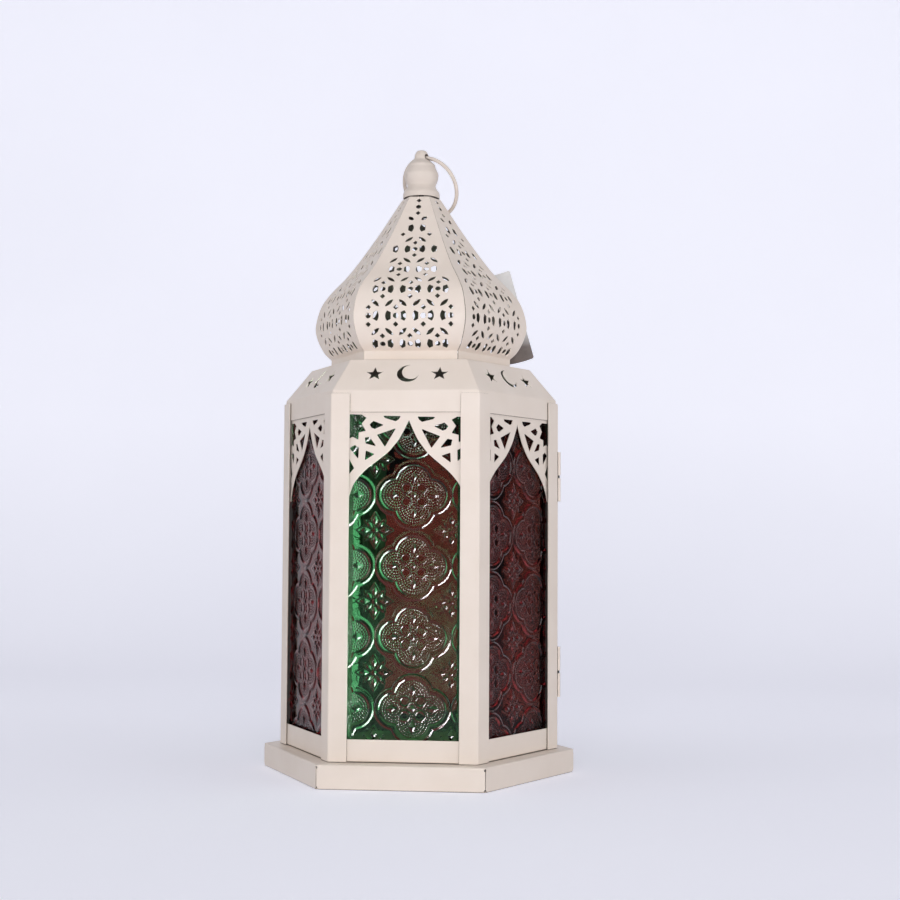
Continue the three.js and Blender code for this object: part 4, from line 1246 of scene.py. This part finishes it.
def glass_retainer(half, outer, top, wall_outer):
    """A strip behind, beside and under the pane. Between the rail and the fretwork its side walls reach
    further out."""
    wall_from = WINDOW_BOTTOM + GAP
    wall_to = FRET_FOOT - GAP
    side = half + GAP
    inner = outer - RETAINER_WALL
    parts = []
    for sign in (-1, 1):
        near = half - RETAINER_LIP
        far = side + RETAINER_WALL
        path = rounded([(near, -inner), (far, -inner), (far, -wall_outer)], RETAINER_BEND, closed=False)
        outline = [(sign * x, y) for x, y in [*path, *offset(path, -RETAINER_WALL)[::-1]]]
        parts.append(prism(outline[::-1] if sign < 0 else outline, wall_from, wall_to))
        x0, x1 = sorted((sign * near, sign * far))
        for low, high in ((RETAINER_BOTTOM, wall_from + 0.5), (wall_to - 0.5, top)):
            parts.append(face_sheet(oblong(x0, low, x1, high), [], outer, RETAINER_WALL))
    lip = RETAINER_BOTTOM + RETAINER_WALL + RETAINER_LIP
    shelf = [(inner, lip), (inner, RETAINER_BOTTOM), (outer + GLASS_WALL + GAP, RETAINER_BOTTOM)]
    shelf = rounded(shelf, RETAINER_BEND, closed=False)
    parts.append(bar(strip_outline(shelf, RETAINER_WALL), -side, side))
    return joined(*parts)


# Five fixed faces

for index, face in enumerate(FACES):
    if index != DOOR:
        turn = SIDE_TURN * index
        off_centre = (FRONT_FRET_SHIFT, FRONT_FRET_TURN) if face == "front" else ()
        pane = glass_pane(GLASS_HALF, GLASS_TOP, GLASS_OUT, PATTERN_PLACES[face])
        retainer = glass_retainer(GLASS_HALF, RETAINER_OUT, GLASS_TOP, RAIL_OUT)
        make(f"bottom_rail_{face}", bottom_rail(), PAINT, turn=turn, bevel=0.15)
        make(f"arch_fretwork_{face}", arch_fretwork(FRET_OUT, *off_centre), PAINT, turn=turn, bevel=0.15)
        piece = make(f"glass_pane_{face}", pane, GREEN if index % 2 == 0 else RED, turn=turn)
        map_pattern(piece, turn, PATTERN_PLACES[face])
        make(f"glass_retainer_{face}", retainer, STEEL, turn=turn, bevel=0.12)

# Shoulder roof: down-turned flange, slope and top plate in one sheet, with stars and a crescent


def star(cx, cy):
    points = []
    for i in range(10):
        r = STAR_RADIUS if i % 2 == 0 else STAR_INNER
        a = pi / 2 + i * pi / 5
        points.append((cx + r * cos(a), cy + r * sin(a)))
    return points


def crescent(cx, cy):
    """Outer arc and the arc of the circle that hollows it, open to the upper right."""
    reach = (CRESCENT_SHIFT ** 2 + CRESCENT_RADIUS ** 2 - CRESCENT_BITE ** 2) / (2 * CRESCENT_SHIFT)
    outer_half = acos(reach / CRESCENT_RADIUS)
    inner_half = acos((reach - CRESCENT_SHIFT) / CRESCENT_BITE)
    points = arc(0, 0, CRESCENT_RADIUS, outer_half, 2 * pi - outer_half, 20)
    points += arc(CRESCENT_SHIFT, 0, CRESCENT_BITE, -inner_half, inner_half - 2 * pi, 20)[1:-1]
    return turned_points(points, CRESCENT_TURN, (cx, cy))


def shoulder_roof():
    path = [(RAIL_OUT, FLANGE_BOTTOM), (RAIL_OUT, SHOULDER_BEND)]
    path += [(radius * COS, SHOULDER_TOP) for radius in (SHOULDER_TOP_RADIUS, ROOF_HOLE_RADIUS)]
    fold = Fold(rounded(path, ROOF_FOLD, closed=False), ROOF_WALL)
    edge = [(fold.half(s), s) for s in fold.along]
    bend = SHOULDER_BEND - FLANGE_BOTTOM
    marks = [star(x, bend + STAR_HEIGHT) for x in (-STAR_OFFSET, STAR_OFFSET)]
    marks.append(crescent(CRESCENT_ASIDE, bend + CRESCENT_HEIGHT))
    return folded_ring(fold, edge, marks, ROOF_CORNER)


make("shoulder_roof", shoulder_roof(), PAINT, bevel=0.15, weld=0.002)

# Door: frame, fretwork, glass and retainer. Along its face, x runs from the hinges to the latch.

DOOR_TURN = SIDE_TURN * DOOR


def door_frame():
    x0 = BARREL_X + BARREL_RADIUS + GAP
    x1 = BODY_RADIUS / 2 - DOOR_EDGE
    outline = rounded(oblong(x0, DOOR_BOTTOM, x1, DOOR_TOP), 1.2)
    window = rounded(oblong(-WINDOW_HALF, WINDOW_BOTTOM, WINDOW_HALF, FLANGE_BOTTOM), 0.8)
    stem_hole = circle(LATCH_X, LATCH_HEIGHT, STEM_RADIUS + GAP, 20)
    return face_sheet(outline, [window, stem_hole], DOOR_OUT, DOOR_WALL)


door_place = PATTERN_PLACES[FACES[DOOR]]
door_pane = glass_pane(DOOR_GLASS_HALF, DOOR_GLASS_TOP, DOOR_GLASS_OUT, door_place)
door_retainer = glass_retainer(DOOR_GLASS_HALF, DOOR_RETAINER_OUT, DOOR_GLASS_TOP, DOOR_FRET_OUT)
make("door_frame", door_frame(), PAINT, "door", DOOR_TURN, bevel=0.2)
make("arch_fretwork_door", arch_fretwork(DOOR_FRET_OUT), PAINT, "door", DOOR_TURN, bevel=0.15)
door_piece = make("glass_pane_door", door_pane, GREEN, "door", DOOR_TURN)
map_pattern(door_piece, DOOR_TURN, door_place)
make("glass_retainer_door", door_retainer, STEEL, "door", DOOR_TURN, bevel=0.12)

# Hinges: each leaf is one strip rolled into a knuckle


def outward(form):
    """A form about +Z turned so that its +Z points straight out of the front face."""
    points = np.asarray(form[0], float)
    return np.stack([points[:, 0], -points[:, 2], points[:, 1]], 1), form[1]


def rivet():
    """A low head on a short shank."""
    shank = 0.6 * RIVET_RADIUS
    head = [(RIVET_RADIUS * x, RIVET_RISE * y) for x, y in arc(0, 0, 1, 0, pi / 2, 5)[:-1]]
    return outward(lathe([(0, -RIVET_DEPTH), (shank, -RIVET_DEPTH), (shank, 0), *head, (0, RIVET_RISE)], 20))


def hinge_leaf(z0, z1, leaf_outer, width, rivets):
    """A leaf and its knuckle, with rivets at shares of its height."""
    inner_rise = BARREL_DISTANCE - leaf_outer + LEAF_WALL
    outer_rise = BARREL_DISTANCE - leaf_outer
    first = asin(min(inner_rise / BARREL_RADIUS, 1))
    last = asin(outer_rise / BARREL_RADIUS) + 2 * pi
    outline = [(width, outer_rise), (width, inner_rise), *arc(0, 0, BARREL_RADIUS, first, last, 24)]
    outline = [(BARREL_X + x, y - BARREL_DISTANCE) for x, y in outline]
    bore = circle(BARREL_X, -BARREL_DISTANCE, PIN_RADIUS + BORE_PLAY, 20)
    parts = [prism(outline, z0, z1, [bore])]
    for share in rivets:
        parts.append(moved(rivet(), BARREL_X + RIVET_AT * width, -leaf_outer, z0 + share * (z1 - z0)))
    return joined(*parts)


def hinge_pin(z0, z1):
    profile = [(0, z0), (PIN_RADIUS * 0.7, z0), (PIN_RADIUS, z0 + 0.35), (PIN_RADIUS, z1 - 0.45)]
    profile += [(PIN_RADIUS * 0.75, z1 - 0.12), (0, z1)]
    return lathe(profile, 24)


for place, middle in HINGE_CENTRES.items():
    bottom = middle - HINGE_HEIGHT / 2
    top = middle + HINGE_HEIGHT / 2
    post_leaf = hinge_leaf(bottom, middle - KNUCKLE_GAP / 2, LEAF_OUT, POST_LEAF_WIDTH, [])
    door_leaf_outer = DOOR_OUT + GAP + LEAF_WALL
    door_leaf = hinge_leaf(middle + KNUCKLE_GAP / 2, top, door_leaf_outer, DOOR_LEAF_WIDTH, [0.2, 0.8])
    pin = moved(hinge_pin(bottom + GAP, top - GAP), BARREL_X, -BARREL_DISTANCE, 0)
    make(f"hinge_leaf_post_{place}", post_leaf, PAINT, turn=DOOR_TURN, bevel=0.1)
    make(f"hinge_leaf_door_{place}", door_leaf, PAINT, "door", DOOR_TURN, bevel=0.1)
    make(f"hinge_pin_{place}", pin, STEEL, turn=DOOR_TURN)

# Turn latch: a grip outside, a stem through the door and a tongue that turns behind the post leg


def latch_grip():
    seat = DOOR_OUT + GAP
    end = TONGUE_OUT - TONGUE_WIDTH - GAP
    tip = STEM_RADIUS - STEM_CHAMFER
    root = seat + 0.5
    stem = [(0, end), (tip, end), (STEM_RADIUS, end + STEM_CHAMFER), (STEM_RADIUS, root), (0, root)]
    top = seat + COLLAR_WALL
    rim = arc(GRIP_COLLAR_RADIUS - COLLAR_ROUND, top - COLLAR_ROUND, COLLAR_ROUND, 0, pi / 2, 4)
    collar = [(0, seat), (GRIP_COLLAR_RADIUS, seat), *rim, (0, top)]
    middle = seat + COLLAR_WALL / 2
    right = [(GRIP_ROOT, middle), (GRIP_ROOT, seat + 1.8), (GRIP_LENGTH / 2, seat + 2.6)]
    right.append((GRIP_LENGTH / 2, seat + GRIP_DEPTH))
    outline = [(-GRIP_ROOT, middle), *right] + [(-x, out) for x, out in right[:0:-1]]
    wing = rounded(outline, [0, 0, 0.8, 1.2, 1.4, 1.4, 1.2, 0.8])
    grip = slab(wing, (), GRIP_WIDTH / 2, -GRIP_WIDTH / 2, lambda z, out, x: (x, -out, z))
    parts = joined(outward(lathe(stem, 32)), outward(lathe(collar, 40)), grip)
    return moved(parts, LATCH_X, 0, LATCH_HEIGHT)


def latch_tongue():
    half = TONGUE_WIDTH / 2
    shoulder = TONGUE_LENGTH - half / 2
    tip = rounded([(half, shoulder), (0, TONGUE_LENGTH), (-half, shoulder)], 0.8, 3, False)
    bore = circle(0, 0, STEM_RADIUS + BORE_PLAY, 24)
    tongue = face_sheet(arc(0, 0, half, pi, 2 * pi, 16) + tip, [bore], TONGUE_OUT, TONGUE_WALL)
    return moved(tongue, LATCH_X, 0, LATCH_HEIGHT)


make("latch_grip", latch_grip(), SHADED_SOLID_PAINT, "latch", DOOR_TURN, bevel=0.25)
make("latch_tongue", latch_tongue(), STEEL, "latch", DOOR_TURN, bevel=0.12)

# Dome petals: flat across, curved in profile and pierced while flat

PETAL_PATH = [(COLLAR_RADIUS * COS, COLLAR_BOTTOM)] + [(r * COS, z) for r, z in spline(PETAL_PROFILE, 8)]
PETAL = Fold(rounded(PETAL_PATH, [0, COLLAR_BEND] + [0] * 64, 3, closed=False), PETAL_WALL)


def bracket(side):
    """A piercing with a short straight edge towards its rosette's eye and a round back."""
    tip = 0.15 * BRACKET_WIDTH
    inner = -BRACKET_WIDTH / 2
    back = [(y + tip, x) for x, y in bow(BRACKET_HEIGHT, BRACKET_WIDTH / 2 - tip, 10)]
    outline = back + [(inner, -BRACKET_INNER / 2), (inner, BRACKET_INNER / 2)]
    return [(side * x, y) for x, y in outline]


def lens(length, width, turn):
    """A pointed slot between two arcs."""
    upper = bow(length, width / 2, 8)
    lower = [(-x, -y) for x, y in upper[1:-1]]
    return turned_points(upper + lower, turn)


def petal_piercings():
    """Outlines of the pattern: rosettes in staggered rows with pointed slots between neighbouring rows."""
    holes = []

    def place(outline, x, s, reach):
        if abs(x) + reach <= PETAL.half(s) - PETAL_BORDER:
            holes.append([(x + u, s + v) for u, v in outline])

    corners = ((1, 0), (0, 1), (-1, 0), (0, -1))
    diamond = rounded([(DIAMOND_HALF * x, DIAMOND_HALF * y) for x, y in corners], 0.3, 2)
    for row in range(MOTIF_ROWS):
        s = MOTIF_START + row * MOTIF_ROW
        shift = row % 2 * MOTIF_PITCH / 2
        for column in range(-2, 3):
            x = column * MOTIF_PITCH + shift
            place(circle(0, 0, EYE_RADIUS, 16), x, s, EYE_RADIUS + 0.75)
            for side in (-1, 1):
                place(bracket(side), x + side * BRACKET_OFFSET, s, BRACKET_WIDTH / 2)
                if row > 0 or side > 0:
                    place(diamond, x, s + side * DIAMOND_RISE, 2.0)
                if row < MOTIF_ROWS - 1:
                    slot = lens(SLOT_LENGTH, SLOT_WIDTH, -side * SLOT_TURN)
                    if row == MOTIF_ROWS - 2:
                        slot = lens(0.65 * SLOT_LENGTH, 1.1 * SLOT_WIDTH, -side * SLOT_TURN)
                    place(slot, x + side * MOTIF_PITCH / 4, s + SLOT_RISE, SLOT_WIDTH / 2)
    return holes


def petal_sheet():
    """The flat, pierced petal as points and triangles."""
    outline = both_sides([(PETAL.half(s), s) for s in PETAL.along])
    bend = [s for s in PETAL.along if 5 < s < COLLAR_HEIGHT + 1.5]
    seeds = []
    for row, s in enumerate(np.arange(COLLAR_HEIGHT + 2.4, PETAL.length - 1, SEED_STEP)):
        shift = row % 2 * SEED_STEP / 2
        places = np.arange(-45, 45, SEED_STEP) + shift
        seeds += [(x, s) for x in places if abs(x) < PETAL.half(s) - SEED_MARGIN]
    return pierced(outline, petal_piercings(), level_lines(bend, COLLAR_RADIUS), seeds)


flat_petal, petal_triangles = petal_sheet()


def petal(left_seam, right_seam):
    """A formed petal. Each seam is half of the open gap to the neighbour, at the foot and at the top."""
    outer, inner = PETAL.place(flat_petal)
    share = flat_petal[:, 1] / PETAL.length
    half = PETAL.half(flat_petal[:, 1])
    for points in (outer, inner):
        for side, (foot, top) in ((-1, left_seam), (1, right_seam)):
            gap = foot + (top - foot) * share
            weight = np.clip((side * flat_petal[:, 0] - half + SEAM_BLEND) / SEAM_BLEND, 0, 1)
            points[:, 0] -= side * gap * weight
    return shell(petal_triangles, outer, inner)


# Half gaps at the foot and the top of the seam on each petal's right
SEAMS = {
    "front": (0.34, 0.06),
    "right": (0.16, 0.06),
    "back_right": (0.10, 0.10),
    "back": (0.22, 0.05),
    "back_left": (0.12, 0.08),
    "left": (0.05, 0.05),
}
for index, face in enumerate(FACES):
    formed = petal(SEAMS[FACES[index - 1]], SEAMS[face])
    make(f"dome_petal_{face}", formed, PAINT, turn=SIDE_TURN * index, bevel=0.14)

# Dome crown, stud and nut inside the dome


def dome_crown():
    rising = PETAL.inner[len(PETAL.inner) // 2:]
    top = CROWN_HEIGHT + CROWN_WALL
    corner = (np.interp(top, rising[:, 1], rising[:, 0]) - GAP) / COS
    bore = circle(0, 0, STUD_RADIUS + GAP, 24)
    return prism(rounded(circle(0, 0, corner, SIDES), 0.6, 3), CROWN_HEIGHT, top, [bore])


def finial_stud():
    """A threaded rod with a chamfered end."""
    z0 = CROWN_HEIGHT - GAP - NUT_HEIGHT - 2
    steps = 24
    points = []
    rows = round((STUD_TOP - z0) / STUD_PITCH * 6)
    for row in range(rows + 1):
        z = z0 + (STUD_TOP - z0) * row / rows
        for i in range(steps):
            phase = (z / STUD_PITCH - i / steps) % 1
            edge = min(1, (z - z0) / 0.6, (STUD_TOP - z) / 0.6)
            r = STUD_RADIUS - STUD_DEPTH * abs(2 * phase - 1) - 0.5 * (1 - edge)
            a = 2 * pi * i / steps
            points.append((r * cos(a), r * sin(a), z))
    return np.array(points), skin(rows + 1, steps, False)


def finial_nut():
    top = CROWN_HEIGHT - GAP
    outline = circle(0, 0, NUT_WIDTH / 2 / COS, SIDES)
    return prism(outline, top - NUT_HEIGHT, top, [circle(0, 0, STUD_RADIUS + BORE_PLAY, 24)])


make("dome_crown", dome_crown(), STEEL, bevel=0.2)
make("finial_stud", finial_stud(), STEEL)
make("finial_nut", finial_nut(), STEEL, bevel=0.35, segments=3)

# Finial: a spun shell with a solid nub, bored below for the stud and across for the ring


def finial():
    bore = STUD_RADIUS + GAP
    bulb = BULB[0] - FINIAL_WALL
    rim = RIM_RADIUS - FINIAL_WALL
    hollow = [
        (0, STUD_TOP + GAP), (bore, STUD_TOP + GAP), (bore, BULB[1] + 3.6), (bulb - 2.2, BULB[1] + 2.6),
        (bulb, BULB[1]), (NECK[0] - FINIAL_WALL, NECK[1]), (rim - 0.6, RIM_BOTTOM + 5.2),
        (rim, RIM_BOTTOM + 0.3), (RIM_RADIUS - 0.3, RIM_BOTTOM),
    ]
    return lathe(hollow + spline(FINIAL_PROFILE, 6)[1:], 96)


def bored(piece, radius, length, height, turn):
    """Bores a round hole across a piece at a height."""
    points, faces = prism(circle(0, 0, radius, 40), -length / 2, length / 2)
    level = about_axis((points[:, [2, 0, 1]], faces), turn)
    cutter = new_object("hole", new_mesh("hole", moved(level, 0, 0, height)))
    cut = piece.modifiers.new("bore", "BOOLEAN")
    cut.object = cutter
    cut.solver = "EXACT"
    bpy.context.view_layer.update()
    depsgraph = bpy.context.evaluated_depsgraph_get()
    result = bpy.data.meshes.new_from_object(piece.evaluated_get(depsgraph), depsgraph=depsgraph)
    piece.modifiers.clear()
    piece.data = result
    bpy.data.objects.remove(cutter)
    soften(piece, 0.25, 2, 40)


bored(make("finial", finial(), SHADED_SOLID_PAINT, turn=RING_TURN), RING_HOLE, 40, RING_HEIGHT, RING_TURN)

# Hanging ring: a closed wire ring through the nub that lies back on the dome


def hanging_ring():
    lean = radians(RING_LEAN)
    hung = circle(0, -RING_RADIUS, RING_RADIUS, 120)
    return tube([(x, -z * sin(lean), z * cos(lean) + RING_HEIGHT) for x, z in hung], RING_WIRE, 14)


make("hanging_ring", hanging_ring(), SHADED_SOLID_PAINT, "ring", RING_TURN)

# Blank card tag, and its closed thread through two openings of the back right petal

TAG_SQUARE = (TAG_INWARD - TAG_UP * TAG_INWARD.dot(TAG_UP)).normalized()
TAG_SIDE = TAG_UP.cross(TAG_SQUARE)


def tag_point(angle, height, off):
    """Point of the curled card, by its angle round the curl, its height and its distance off the card."""
    r = TAG_CURL + off
    flat = Vector((r * sin(angle), r * cos(angle) - TAG_CURL, height))
    return tuple(TAG_CORNER + TAG_SQUARE * flat.x + TAG_SIDE * flat.y + TAG_UP * flat.z)


def swing_tag():
    wide = TAG_SPAN * TAG_CURL
    outline = rounded(oblong(0, 0, wide, TAG_LENGTH), 1.5)
    hole = circle(TAG_HOLE_AT * TAG_CURL, TAG_LENGTH - TAG_HOLE_DROP, TAG_HOLE_RADIUS, 24)
    lines = [[(x, -1), (x, TAG_LENGTH + 1)] for x in np.linspace(0, wide, 33)[1:-1]]
    flat, triangles = pierced(outline, [hole], lines)
    sides = [[tag_point(x / TAG_CURL, y, off) for x, y in flat] for off in (0.0, -TAG_WALL)]
    return shell(triangles, *np.array(sides))


def tag_thread():
    out, up = PETAL.at(MOTIF_START + THREAD_ROW * MOTIF_ROW)
    side = MOTIF_PITCH / 2 - BRACKET_OFFSET
    height = TAG_LENGTH - TAG_HOLE_DROP
    path = [
        (0, -out + 5, up - 2),
        (side, -out + 1, up),
        (side + 1, -out - 6, up + 1),
        tag_point(TAG_HOLE_AT, height + 16, 5),
        tag_point(TAG_HOLE_AT, height + 4, 3),
        tag_point(TAG_HOLE_AT, height, -TAG_WALL / 2),
        tag_point(TAG_HOLE_AT, height + 4, -3.5),
        tag_point(TAG_HOLE_AT, height + 16, -5),
        (-side, -out - 6, up + 1),
        (-side, -out + 1, up),
    ]
    steps = 12
    smooth = spline([*path[-2:], *path, *path[:2]], steps)
    return tube(smooth[2 * steps:-2 * steps - 1], THREAD_RADIUS, 10)


make("swing_tag", swing_tag(), CARD, turn=DOOR_TURN, bevel=0.08)
make("tag_thread", tag_thread(), THREAD, turn=DOOR_TURN)

# Light the stage

build_sweep()
light_world()
key = softbox("key", (0.2, -1.7, 0.35), 1.1, 0.8, 13.7, (1.0, 0.985, 0.97))
key.visible_glossy = False
key.visible_transmission = False
softbox("fill_right", (1.9, -1.0, 0.5), 1.3, 1.3, 7.9, FILL_COLOUR)
softbox("fill_left", (-1.9, -1.0, 0.5), 1.3, 1.3, 6.9, FILL_COLOUR)
glint_light((0.61, -0.5, -0.61), radians(54), 17.0)
bpy.context.scene.view_settings.view_transform = "Standard"
